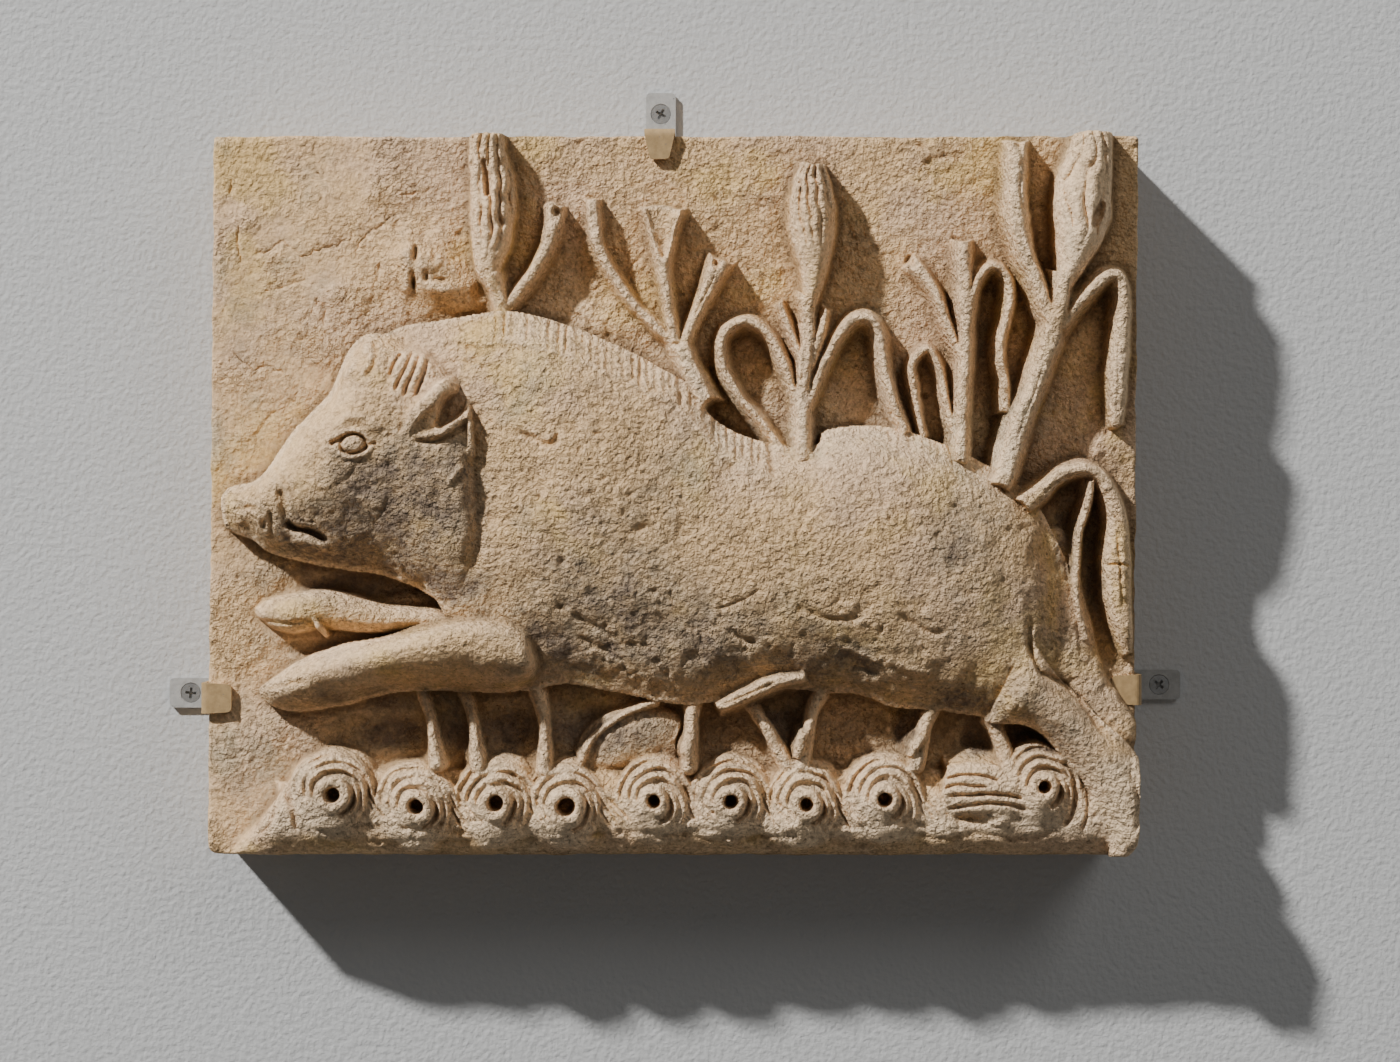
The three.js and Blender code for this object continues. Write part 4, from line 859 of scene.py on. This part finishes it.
# %% [markdown]
# A crack is a line of even width on an uneven path. The zero line of a lump field is such a
# path. Dividing the field by its own slope turns it into a distance from that line.

# %% Cracks
def crack_lines(size, seed, width):
    field = noise(size, seed) + 0.32 * noise(size / 4, seed + 1) + 0.14 * noise(size / 11, seed + 2)
    slope = np.hypot(*np.gradient(field, STEP))
    return np.exp(-((np.abs(field) / np.maximum(slope, 0.02) / width) ** 2))


CRACKS = [
    [[-107, 126], [-115, 124]], [[-115.4, 118], [-120, 114.4], [-123.3, 111.5], [-128, 109], [-130, 105.8],
     [-133, 101.8], [-132.6, 98]],
    [[-175.6, 100], [-168.5, 102.2], [-164, 106], [-157.7, 101.5], [-154.8, 99.3], [-147, 102.5],
     [-141, 103.6], [-137, 107]],
    [[-154, 96], [-155, 90], [-159, 88], [-165.6, 85.7], [-172, 84.3]], [[-140.5, 84.6], [-136.6, 84.3],
     [-139.4, 77.8]],
    [[-148.7, 82], [-149.8, 80], [-146.2, 78.5], [-147, 69.2]], [[-149.8, 79.3], [-156.3, 69.2]],
    [[-184.9, 131.6], [-185.3, 125.8]], [[-143.7, 128.7], [-147, 131.6], [-150.5, 134.5]],
    [[-123, 97], [-125, 88], [-126, 80], [-130, 72]], [[-181, 112], [-182, 105], [-180, 96]],
    [[-176, 24], [-168, 33], [-160, 38], [-156, 46]], [[-184, 60], [-176, 52], [-170, 54], [-162, 50]],
]
for places in CRACKS:
    path = smooth_rows(places, 5)
    path += hand.normal(0, 0.42, path.shape)
    stroke(surface, path, 0.45, hand.uniform(0.5, 1.2), fade=0.1, per_span=1)
veil = step_up(noise(17, 230), 0.15, 0.5)
surface -= 0.5 * veil * crack_lines(34, 240, 0.5) + 0.3 * (1 - smooth) * crack_lines(15, 250, 0.45) * veil
surface += 0.35 * step_up(noise(17, 231), 0.2, 0.5) * crack_lines(21, 260, 0.7)
print(len(CRACKS), "drawn cracks and three nets of found ones")

# %% [markdown]
# ## Turning the field of heights into a solid
# The front is a sheet of small quads. Rows of quads down the four sides and one flat back close
# it. The arrises are worn round, the lower right corner is broken off and the sides are uneven.
# Blender's Decimate then merges triangles where the surface is plain and keeps them where it is
# carved, which a regular grid cannot do.

# %% Worn arrises
ARRIS = 0.9
to_left, to_right = (across + 0.5) * WIDTH, (0.5 - across) * WIDTH
to_foot, to_head = (upward + 0.5) * HEIGHT, (0.5 - upward) * HEIGHT
to_edge = np.minimum.reduce([to_left, to_right, to_foot, to_head])
wear = np.clip(ARRIS + 0.55 * noise(4, 60) + 0.6 * noise(13, 61), 0.35, None)
lip = np.clip(1 - to_edge / wear, 0, 1)
surface -= wear * (1 - np.sqrt(1 - lip**2 * 0.998))
nicks = np.clip(noise(3.2, 62) + 0.6 * noise(9, 63) - 0.75, 0, None)
surface -= 3 * nicks * np.exp(-to_edge / 1.6)
BROKEN_CORNERS = [(192, -149, 6, 5, -5), (-192, -149, 3.5, 3.5, -2)]
for x, z, wide, high, amount in BROKEN_CORNERS:
    dab(surface, x, z, wide, high, amount)
print("deepest nick", (3 * nicks * np.exp(-to_edge / 1.6)).max().round(1), "mm")

# %% Round corners and uneven edges
CORNERS = [(-1, -1, 3.5), (1, -1, 6.0), (-1, 1, 1.6), (1, 1, 2.0)]
inward = np.clip(0.25 + 0.3 * noise(5, 64) + 0.2 * noise(2, 65), 0, 1.2)


def plan():
    """Where each place of the sheet lies in plan, in millimetres."""
    x = (X + DRAWING_SHIFT) * ACROSS
    z = Z.copy()
    x += inward * (np.exp(-to_left / 2) - np.exp(-to_right / 2))
    z += inward * (np.exp(-to_foot / 2) - np.exp(-to_head / 2))
    for side, level, radius in CORNERS:
        inner_x = side * (WIDTH / 2 - radius) + level * LEAN / 2
        inner_z = level * (HEIGHT / 2 - radius)
        out_x = np.clip((x - inner_x) * side, 0, None)
        out_z = np.clip((z - inner_z) * level, 0, None)
        keep = np.maximum(out_x, out_z) / np.maximum(np.hypot(out_x, out_z), 1e-9)
        corner = (out_x > 0) & (out_z > 0)
        x = np.where(corner, inner_x + side * out_x * keep, x)
        z = np.where(corner, inner_z + level * out_z * keep, z)
    return x, z


plan_x, plan_z = plan()
print("plan from", plan_x.min().round(1), "to", plan_x.max().round(1), "mm")

# %% Build the mesh
SIDE_ROWS = 26
SIDE_ROUGHNESS = 0.55


def mesh_from(name, vertices, quads, triangles):
    mesh = bpy.data.meshes.new(name)
    mesh.vertices.add(len(vertices))
    mesh.vertices.foreach_set("co", vertices.astype(np.float32).ravel())
    loops = np.concatenate([quads.ravel(), triangles.ravel()]).astype(np.int32)
    mesh.loops.add(len(loops))
    mesh.loops.foreach_set("vertex_index", loops)
    starts = np.concatenate([
        np.arange(len(quads)) * 4, len(quads) * 4 + np.arange(len(triangles)) * 3]).astype(np.int32)
    mesh.polygons.add(len(starts))
    mesh.polygons.foreach_set("loop_start", starts)
    mesh.update(calc_edges=True)
    piece = bpy.data.objects.new(name, mesh)
    bpy.context.scene.collection.objects.link(piece)
    return piece


def side_bumps(count, seed):
    """Unevenness of the sides, over the way round and the way back."""
    bumps = np.zeros((count, SIDE_ROWS + 1))
    for size, amount in ((12, 0.5), (5, 0.35), (2, 0.3)):
        around, back = spread(count, size / STEP), spread(SIDE_ROWS + 1, max(size / 2, 1))
        values = np.random.default_rng(seed + size).standard_normal((around.shape[1], back.shape[1]))
        bumps += amount * (around @ values @ back.T)
    place = np.arange(count)
    from_seam = np.minimum(place, count - place) * STEP
    return np.clip(SIDE_ROUGHNESS * (1 + bumps), 0, 1.6) * step_up(from_seam, 0, 6)[:, None]


def solid_panel(name):
    number = np.arange(ROWS * COLUMNS).reshape(ROWS, COLUMNS)
    front = np.stack([plan_x, -GROUND - surface, plan_z], axis=-1).reshape(-1, 3) * MM
    a, b, c, d = number[:-1, :-1], number[:-1, 1:], number[1:, 1:], number[1:, :-1]
    quads = [np.stack([a, b, c, d], axis=-1).reshape(-1, 4)]
    rim = np.concatenate([number[0, :-1], number[:-1, -1], number[-1, :0:-1], number[:0:-1, 0]])
    inner = -front[rim] * np.array([1 / WIDTH**4, 0, 1 / HEIGHT**4]) * np.abs(front[rim]) ** 3
    inner /= np.linalg.norm(inner, axis=1, keepdims=True)
    bumps = side_bumps(len(rim), 300)
    layers = [rim]
    vertices = [front]
    count = len(front)
    for layer in range(1, SIDE_ROWS + 1):
        ring = front[rim].copy()
        ring[:, 1] *= 1 - layer / SIDE_ROWS
        ring += inner * bumps[:, layer:layer + 1] * min(1, layer / 3) * MM
        vertices.append(ring)
        layers.append(np.arange(count, count + len(rim)))
        count += len(rim)
    for upper, lower in zip(layers[:-1], layers[1:]):
        quads.append(np.stack([upper, lower, np.roll(lower, -1), np.roll(upper, -1)], axis=-1))
    back = layers[-1]
    vertices.append(np.zeros((1, 3)))
    triangles = np.stack([back, np.full(len(back), count), np.roll(back, -1)], axis=-1)
    return mesh_from(name, np.concatenate(vertices), np.concatenate(quads), triangles)


panel = solid_panel("carved_panel")
print("panel mesh", len(panel.data.vertices), "vertices")

# %% Keep the triangles where the carving is
MOST_TRIANGLES = 196_000


def thin(piece, most):
    triangles = sum(len(face.vertices) - 2 for face in piece.data.polygons)
    modifier = piece.modifiers.new("thin", "DECIMATE")
    modifier.ratio = min(1, most / triangles)
    modifier.use_collapse_triangulate = True
    depsgraph = bpy.context.evaluated_depsgraph_get()
    mesh = bpy.data.meshes.new_from_object(piece.evaluated_get(depsgraph))
    piece.modifiers.clear()
    piece.data = mesh
    mesh.polygons.foreach_set("use_smooth", np.ones(len(mesh.polygons), bool))
    mesh.set_sharp_from_angle(angle=math.radians(66))


thin(panel, MOST_TRIANGLES)
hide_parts("panel")
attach(panel, "root")
print("thinned to", len(panel.data.polygons), "triangles")

# %% [markdown]
# ## Telling the material about the form
# Dirt and painted shade lie in hollows, and edges wear pale. A blurred copy of the surface is higher than the
# surface in a hollow and lower on an edge. We turn both differences into masks and store them on
# the mesh, with masks for painted shade in the deep recesses, for stains and painted shade, and for
# coarse grain. A last mask is cream and painted light: a painted highlight on the boar's lit back and
# on the tops of the waves, and the reeds' own cream.

# %% Masks from the form
# Oval patches that are partly real stains and partly painted shade: those under the belly and foreleg, in the
# mouth, on the cheek, on the lower body and on the hind leg stand for shade.
PAINTED_SHADE_AND_STAINS = [
    (-132, -36, 34, 6, 1.6), (-150, -65, 20, 5, 0.7), (-120, -98, 26, 8, 0.5),
    (-106, -2, 20, 20, 1.0), (-128, 8, 14, 8, 0.8), (-138, -18, 24, 8, 0.8), (-86, 8, 6, 20, 0.7),
    (-95, -36, 14, 10, 0.8), (-70, -98, 44, 12, 1.0), (-18, -98, 26, 10, 0.6), (45, -98, 14, 10, 1.1),
    (96, -98, 8, 10, 1.1), (126, -101, 8, 8, 1.1), (150, -104, 10, 9, 0.9), (162, -18, 5, 18, 1.0),
    (174, -34, 4, 22, 0.9), (20, -66, 62, 13, 0.55), (-50, -66, 30, 12, 0.4), (-154, -16, 16, 8, 1.0),
    (-24, -40, 40, 14, 0.45), (150, -66, 30, 16, 0.35), (120, -15, 14, 16, 0.5), (170, -98, 18, 12, 0.4),
    (-128, -84, 34, 6, 0.8), (-142, -14, 16, 10, 0.5), (-10, -56, 90, 16, 0.35),
    (-168, 40, 24, 70, 0.22), (60, -30, 30, 20, 0.2),
    (-165, -112, 30, 22, 0.35), (125, -86, 36, 8, 0.9), (-112, -2, 26, 26, 0.5), (-60, -62, 30, 10, -0.3),
    (-30, -20, 26, 26, 0.35), (0, 5, 18, 30, 0.3), (120, -30, 22, 24, 0.35), (-150, -30, 16, 6, 0.5),
    (-180, 70, 6, 14, 0.4), (-130, -125, 20, 10, 0.3), (60, -70, 40, 10, 0.3), (-60, -60, 16, 16, 0.3),
]
# Painted shade: these recesses under the belly and in the mouth, and every deep hollow, are painted dark
# brown for the shade that falls in them.
SHADED_RECESSES = [(-70, -97, 52, 9), (20, -98, 50, 9), (110, -99, 55, 9), (-135, -36, 30, 7)]
boar = np.maximum.reduce([trunk, head, foreleg, jaw, hind_leg])
behind = 1 - step_up(boar, -8, 0)
# cavity: fine hollows, which the material paints darker with dirt and painted shade.
cavity = np.clip((blur(surface, 2.6) - blur(surface, 0.7)) / 1.9 - 0.06, 0, 1)
worn = np.clip((surface - blur(surface, 1.6)) / 0.8, 0, 1)
recess_shade = np.clip((blur(surface, 8) - surface) / 10 - 0.15, 0, 1)
for x, z, wide, high in SHADED_RECESSES:
    shade = np.zeros(X.shape)
    dab(shade, x, z, wide, high, 1, power=4)
    recess_shade = np.maximum(recess_shade, shade * behind * (1 - step_up(surface, 7, 14)))
painted_shade_and_stain = np.zeros(X.shape)
for x, z, wide, high, amount in PAINTED_SHADE_AND_STAINS:
    dab(painted_shade_and_stain, x, z, wide, high, amount)
painted_shade_and_stain = np.clip(painted_shade_and_stain * (1 + 0.5 * noise(7, 280) + 0.3 * noise(2.5, 281)), 0, 1)
# Painted highlight: the lit crest and the wave tops are painted cream for the light that falls on them, while
# the reeds are cream in their own colour.
lit_crest = np.exp(-((below_crest / 15) ** 2)) * is_between(-70, 138)
wave_tops = step_up(surface, 11, 16) * (1 - step_up(Z, -112, -104))
reed_tops = (0.5 + 0.5 * step_up(X, 120, 140)) * reeds * behind
cream_and_painted_light = 1.5 * wave_tops + reed_tops + 0.8 * lit_crest
cream_and_painted_light = np.clip(cream_and_painted_light * (0.75 + 0.4 * noise(14, 282)), 0, 1)


def store(piece, name, masks, elsewhere):
    """Puts three masks on the front's vertices as one colour, and one fixed colour on the rest."""
    mesh = piece.data
    places = np.zeros(len(mesh.vertices) * 3)
    mesh.vertices.foreach_get("co", places)
    x, y, z = places.reshape(-1, 3).T / MM
    up = z / HEIGHT
    row = np.clip(((up + 0.5) * (ROWS - 1)).round().astype(int), 0, ROWS - 1)
    column = np.clip((((x - LEAN * up) / WIDTH + 0.5) * (COLUMNS - 1)).round().astype(int), 0, COLUMNS - 1)
    colours = np.ones((len(x), 4))
    for k, mask in enumerate(masks):
        colours[:, k] = np.where(y < -GROUND * 0.85, mask[row, column], elsewhere[k])
    layer = mesh.color_attributes.new(name, "FLOAT_COLOR", "POINT")
    layer.data.foreach_set("color", colours.ravel())


# The sides and back get a little of the painted hollow and recess shade, and of the stains.
store(panel, "form", (cavity, worn, recess_shade), (0.1, 0.0, 0.1))
store(panel, "tint", (cream_and_painted_light, painted_shade_and_stain, np.clip(rough, 0, 1)), (0.0, 0.2, 0.9))
print("mean cavity", cavity.mean().round(3), "mean wear", worn.mean().round(3))

# %% [markdown]
# ## Materials
# A material is a small network. The short functions below add a node, mix two colours and turn a
# noise into soft-edged patches, so that each recipe reads from top to bottom.

# %% Tools for node networks
def new_material(name):
    material = bpy.data.materials.new(name)
    material.use_nodes = True
    tree = material.node_tree
    return material, tree, tree.nodes["Principled BSDF"]


def feed(tree, socket, value):
    if isinstance(value, bpy.types.NodeSocket):
        tree.links.new(value, socket)
    elif isinstance(value, tuple) and len(value) == 3 and socket.type == "RGBA":
        socket.default_value = (*value, 1)
    else:
        socket.default_value = value


def calculate(tree, operation, first, second=0.0):
    made = tree.nodes.new("ShaderNodeMath")
    made.operation = operation
    feed(tree, made.inputs[0], first)
    feed(tree, made.inputs[1], second)
    return made.outputs[0]


def mix(tree, share, first, second, way="MIX"):
    made = tree.nodes.new("ShaderNodeMix")
    made.data_type = "RGBA"
    made.blend_type = way
    feed(tree, made.inputs[0], share)
    feed(tree, made.inputs[6], first)
    feed(tree, made.inputs[7], second)
    return made.outputs[2]


def lumps(tree, place, scale, detail=3.0, roughness=0.55):
    made = tree.nodes.new("ShaderNodeTexNoise")
    feed(tree, made.inputs["Vector"], place)
    feed(tree, made.inputs["Scale"], scale)
    feed(tree, made.inputs["Detail"], detail)
    feed(tree, made.inputs["Roughness"], roughness)
    return made.outputs["Fac"]


def patches(tree, value, low, high, most=1.0, least=0.0):
    made = tree.nodes.new("ShaderNodeMapRange")
    made.interpolation_type = "SMOOTHSTEP"
    feed(tree, made.inputs["Value"], value)
    feed(tree, made.inputs["From Min"], low)
    feed(tree, made.inputs["From Max"], high)
    feed(tree, made.inputs["To Min"], least)
    feed(tree, made.inputs["To Max"], most)
    return made.outputs["Result"]


def bump(tree, shader, height, distance, strength=1.0):
    made = tree.nodes.new("ShaderNodeBump")
    feed(tree, made.inputs["Strength"], strength)
    feed(tree, made.inputs["Distance"], distance)
    feed(tree, made.inputs["Height"], height)
    tree.links.new(made.outputs["Normal"], shader.inputs["Normal"])


def object_place(tree):
    return tree.nodes.new("ShaderNodeTexCoord").outputs["Object"]


def stored(tree, name):
    layer = tree.nodes.new("ShaderNodeAttribute")
    layer.attribute_name = name
    parts = tree.nodes.new("ShaderNodeSeparateColor")
    tree.links.new(layer.outputs["Color"], parts.inputs[0])
    return parts.outputs[0], parts.outputs[1], parts.outputs[2]


# %% [markdown]
# The stucco is a warm tan that wanders between ochre, pinkish tan and grey-green over a few
# centimetres. Fine sand gives light and dark specks. A pale tan lies on worn edges, cream and a
# painted highlight on the places that the last mask names, dirt and painted shade in hollows, and a
# painted brown shade in recesses. Grey-brown and dark stains, partly painted shade, are laid on with
# a broken edge.

# %% Stucco
TAN, OCHRE, PINK = (0.82, 0.535, 0.275), (0.8, 0.53, 0.21), (0.77, 0.52, 0.315)
GREY_GREEN, CREAM_AND_HIGHLIGHT, DIRT_AND_SHADE = (0.54, 0.46, 0.31), (0.98, 0.75, 0.5), (0.2, 0.12, 0.06)
RECESS_SHADE_BROWN, DARK_SHADE_AND_STAIN, WORN = (0.26, 0.17, 0.095), (0.22, 0.16, 0.12), (0.98, 0.7, 0.43)
GREY_BROWN = (0.45, 0.345, 0.225)


def stucco_material():
    material, tree, shader = new_material("aged_stucco")
    place = object_place(tree)
    hollow_dirt_and_shade, edges, deep = stored(tree, "form")
    cream_and_highlight, shade_and_stain, coarse = stored(tree, "tint")
    colour = mix(tree, patches(tree, lumps(tree, place, 16, 5, 0.6), 0.44, 0.62), TAN, PINK)
    colour = mix(tree, patches(tree, lumps(tree, place, 25, 4, 0.6), 0.52, 0.66, 0.8), colour, OCHRE)
    colour = mix(tree, patches(tree, lumps(tree, place, 11, 5, 0.65), 0.55, 0.68, 0.7), colour, GREY_GREEN)
    # Cream: a painted highlight on the crest and wave tops, and the reeds' own colour.
    colour = mix(tree, calculate(tree, "MULTIPLY", cream_and_highlight, 0.75), colour, CREAM_AND_HIGHLIGHT)
    # Painted brown shade in the recesses.
    colour = mix(tree, calculate(tree, "MULTIPLY", deep, 0.65), colour, RECESS_SHADE_BROWN)
    # Grey-brown and dark patches: real stains, and painted shade on the cheek, mouth and lower body.
    blotch = patches(tree, lumps(tree, place, 130, 4, 0.7), 0.35, 0.62, 1.0, 0.4)
    veil = calculate(tree, "MINIMUM", calculate(tree, "MULTIPLY", shade_and_stain, 1.5), 0.9)
    colour = mix(tree, calculate(tree, "MULTIPLY", veil, blotch), colour, GREY_BROWN)
    black = calculate(tree, "MULTIPLY", patches(tree, shade_and_stain, 0.4, 1.0), 0.85)
    colour = mix(tree, calculate(tree, "MULTIPLY", black, blotch), colour, DARK_SHADE_AND_STAIN)
    colour = mix(tree, calculate(tree, "MULTIPLY", edges, 0.8), colour, WORN)
    # Dirt and painted shade in the hollows.
    colour = mix(tree, calculate(tree, "MULTIPLY", hollow_dirt_and_shade, 0.5), colour, DIRT_AND_SHADE)
    sand = lumps(tree, place, 560, 3, 0.7)
    shade = patches(tree, sand, 0.34, 0.66, 1.16, 0.84)
    colour = mix(tree, 1.0, colour, shade, "MULTIPLY")
    grime = patches(tree, lumps(tree, place, 420, 3, 0.7), 0.6, 0.72, 0.5)
    colour = mix(tree, calculate(tree, "MULTIPLY", grime, coarse), colour, DIRT_AND_SHADE)
    dots = patches(tree, lumps(tree, place, 620, 2, 0.5), 0.63, 0.69, 0.55)
    colour = mix(tree, calculate(tree, "MULTIPLY", dots, coarse), colour, DIRT_AND_SHADE)
    feed(tree, shader.inputs["Base Color"], colour)
    feed(tree, shader.inputs["Roughness"], patches(tree, sand, 0.2, 0.8, 1.0, 0.86))
    feed(tree, shader.inputs["Specular IOR Level"], 0.1)
    chips = patches(tree, lumps(tree, place, 300, 4, 0.7), 0.57, 0.63, 0.22)
    grit = calculate(tree, "SUBTRACT", lumps(tree, place, 430, 3, 0.6), chips)
    rougher = calculate(tree, "ADD", coarse, patches(tree, lumps(tree, place, 55, 3), 0.4, 0.62, 0.4))
    height = calculate(tree, "MULTIPLY", grit, calculate(tree, "ADD", rougher, 0.1))
    bump(tree, shader, height, 0.0031)
    return material


panel.data.materials.clear()
panel.data.materials.append(stucco_material())
print("stucco ready")

# %% [markdown]
# The clips are painted steel. The tab on the wall is grey like the wall, and the hook over the
# panel is tan like the stucco. The change lies at the bend, so depth from the wall decides it.

# %% Painted clips and dull screws
TAB_GREY, HOOK_TAN, BARE_STEEL = (0.42, 0.42, 0.405), (0.42, 0.275, 0.125), (0.22, 0.21, 0.2)
BEND_DEPTH = -0.0042


def clip_material():
    material, tree, shader = new_material("painted_clip")
    place = object_place(tree)
    parts = tree.nodes.new("ShaderNodeSeparateXYZ")
    tree.links.new(place, parts.inputs[0])
    wavering = calculate(tree, "MULTIPLY", lumps(tree, place, 500, 2), 0.0012)
    depth = calculate(tree, "ADD", parts.outputs[1], wavering)
    colour = mix(tree, patches(tree, depth, BEND_DEPTH, BEND_DEPTH + 0.0006), HOOK_TAN, TAB_GREY)
    brushed = lumps(tree, place, 350, 4, 0.65)
    colour = mix(tree, 1.0, colour, patches(tree, brushed, 0.3, 0.7, 1.1, 0.86), "MULTIPLY")
    chips = patches(tree, lumps(tree, place, 420, 4, 0.7), 0.66, 0.69, 0.8)
    colour = mix(tree, chips, colour, BARE_STEEL)
    feed(tree, shader.inputs["Base Color"], colour)
    feed(tree, shader.inputs["Metallic"], calculate(tree, "MULTIPLY", chips, 0.8))
    feed(tree, shader.inputs["Roughness"], patches(tree, brushed, 0.2, 0.8, 0.72, 0.45))
    bump(tree, shader, brushed, 0.00022)
    return material


ZINC_LIGHT, ZINC_DARK, ZINC_SPOTS = (0.5, 0.5, 0.49), (0.34, 0.335, 0.32), (0.16, 0.13, 0.1)


def screw_material():
    material, tree, shader = new_material("dull_zinc")
    place = object_place(tree)
    cloud = lumps(tree, place, 300, 5, 0.7)
    colour = mix(tree, patches(tree, cloud, 0.35, 0.65), ZINC_LIGHT, ZINC_DARK)
    colour = mix(tree, patches(tree, lumps(tree, place, 900, 3), 0.62, 0.7, 0.7), colour, ZINC_SPOTS)
    feed(tree, shader.inputs["Base Color"], colour)
    feed(tree, shader.inputs["Metallic"], 0.85)
    feed(tree, shader.inputs["Roughness"], patches(tree, cloud, 0.3, 0.7, 0.6, 0.36))
    bump(tree, shader, lumps(tree, place, 1400, 3), 0.0001)
    return material


painted, zinc = clip_material(), screw_material()
for name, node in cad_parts.items():
    if name != "panel":
        node.data.materials.clear()
        node.data.materials.append(painted if name.startswith("clip") else zinc)
        print(name, "origin", [round(v, 4) for v in node.matrix_world.translation])

# %% [markdown]
# ## Wall, light and camera
# The backdrop is a plain pale wall. It has a window cut behind the panel and behind each tab, and
# it is clear when seen from its back, so the panel can be looked at from behind too.

# %% The wall
WALL_HALF = 1.6
WALL_PLACE = 0.0006
PANEL_INSET = 0.0022
TAB_INSET = 0.0016
BESIDE = 0.0027
WALL_GREY, WALL_CLOUD = (0.6, 0.598, 0.585), (0.58, 0.58, 0.57)


def wall_with_windows(windows):
    xs = sorted({-WALL_HALF, WALL_HALF, *[v for w in windows for v in (w[0], w[1])]})
    zs = sorted({-WALL_HALF, WALL_HALF, *[v for w in windows for v in (w[2], w[3])]})
    vertices = np.array([(x, WALL_PLACE, z) for z in zs for x in xs])
    quads = []
    for row in range(len(zs) - 1):
        for column in range(len(xs) - 1):
            x, z = (xs[column] + xs[column + 1]) / 2, (zs[row] + zs[row + 1]) / 2
            if any(w[0] < x < w[1] and w[2] < z < w[3] for w in windows):
                continue
            corner = row * len(xs) + column
            quads.append((corner, corner + 1, corner + len(xs) + 1, corner + len(xs)))
    return mesh_from("wall", vertices, np.array(quads), np.zeros((0, 3), int))


def tab_window(name):
    low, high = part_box(name)
    left, right = low[0] + TAB_INSET, high[0] - TAB_INSET
    foot, head = low[2] + TAB_INSET, high[2] - TAB_INSET
    if name == "clip_left":
        right = panel_low[0] - BESIDE
    elif name == "clip_right":
        left = panel_high[0] + BESIDE
    else:
        foot = panel_high[2] + BESIDE
    return left, right, foot, head


def wall_material():
    material, tree, shader = new_material("wall_paint")
    place = object_place(tree)
    feed(tree, shader.inputs["Base Color"], mix(tree, lumps(tree, place, 6, 3), WALL_GREY, WALL_CLOUD))
    feed(tree, shader.inputs["Roughness"], 0.85)
    feed(tree, shader.inputs["Specular IOR Level"], 0.15)
    bump(tree, shader, lumps(tree, place, 420, 3, 0.5), 0.0007)
    side = tree.nodes.new("ShaderNodeNewGeometry")
    clear = tree.nodes.new("ShaderNodeBsdfTransparent")
    choose = tree.nodes.new("ShaderNodeMixShader")
    tree.links.new(side.outputs["Backfacing"], choose.inputs[0])
    tree.links.new(shader.outputs[0], choose.inputs[1])
    tree.links.new(clear.outputs[0], choose.inputs[2])
    tree.links.new(choose.outputs[0], tree.nodes["Material Output"].inputs["Surface"])
    return material


panel_window = (
    panel_low[0] + PANEL_INSET + LEAN * MM, panel_high[0] - PANEL_INSET - LEAN * MM,
    panel_low[2] + PANEL_INSET, panel_high[2] - PANEL_INSET)
wall = wall_with_windows([panel_window] + [tab_window("clip_" + side) for side in ("left", "right", "top")])
wall.data.materials.append(wall_material())
print("wall in", len(wall.data.polygons), "pieces")

# %% [markdown]
# One hard lamp high on the left models the relief and throws the long shadow to the lower
# right. A weak broad one at the upper right and a dim even light keep the shadows readable. Two
# lamps behind the wall light the back for anyone who looks at it. The wall keeps them from the
# front.

# %% Lamps and camera
def aim(thing, place, target):
    thing.location = place
    thing.rotation_euler = (Vector(target) - Vector(place)).to_track_quat("-Z", "Y").to_euler()


def lamp(name, place, size, power, colour=(1, 1, 1)):
    data = bpy.data.lights.new(name, "AREA")
    data.shape = "DISK"
    data.size = size
    data.energy = power
    data.color = colour
    light = bpy.data.objects.new(name, data)
    bpy.context.scene.collection.objects.link(light)
    aim(light, place, (0, 0, 0))


lamp("key_light", (-3.78, -3.06, 4.04), 0.35, 645)
lamp("soft_light", (1.4, -1.8, 1.6), 1.2, 10)
lamp("back_light", (0.5, 2.0, 1.2), 1.0, 60)
lamp("low_back_light", (-1.2, 1.6, -0.4), 1.0, 14)

world = bpy.data.worlds.new("studio")
world.use_nodes = True
sky = world.node_tree.nodes["Background"]
sky.inputs["Color"].default_value = (0.86, 0.87, 0.88, 1)
sky.inputs["Strength"].default_value = 0.12
bpy.context.scene.world = world

CAMERA_DISTANCE = 1.320
LENS, FILM_WIDTH = 81.57, 36
camera_data = bpy.data.cameras.new("camera")
camera_data.sensor_width = FILM_WIDTH
camera_data.lens = LENS
camera = bpy.data.objects.new("camera", camera_data)
bpy.context.scene.collection.objects.link(camera)
camera.location = (0.0112, -CAMERA_DISTANCE - GROUND * MM, -0.015)
camera.rotation_euler = (math.pi / 2, 0, 0)
bpy.context.scene.camera = camera
print("camera", CAMERA_DISTANCE, "m from the ground of the relief")
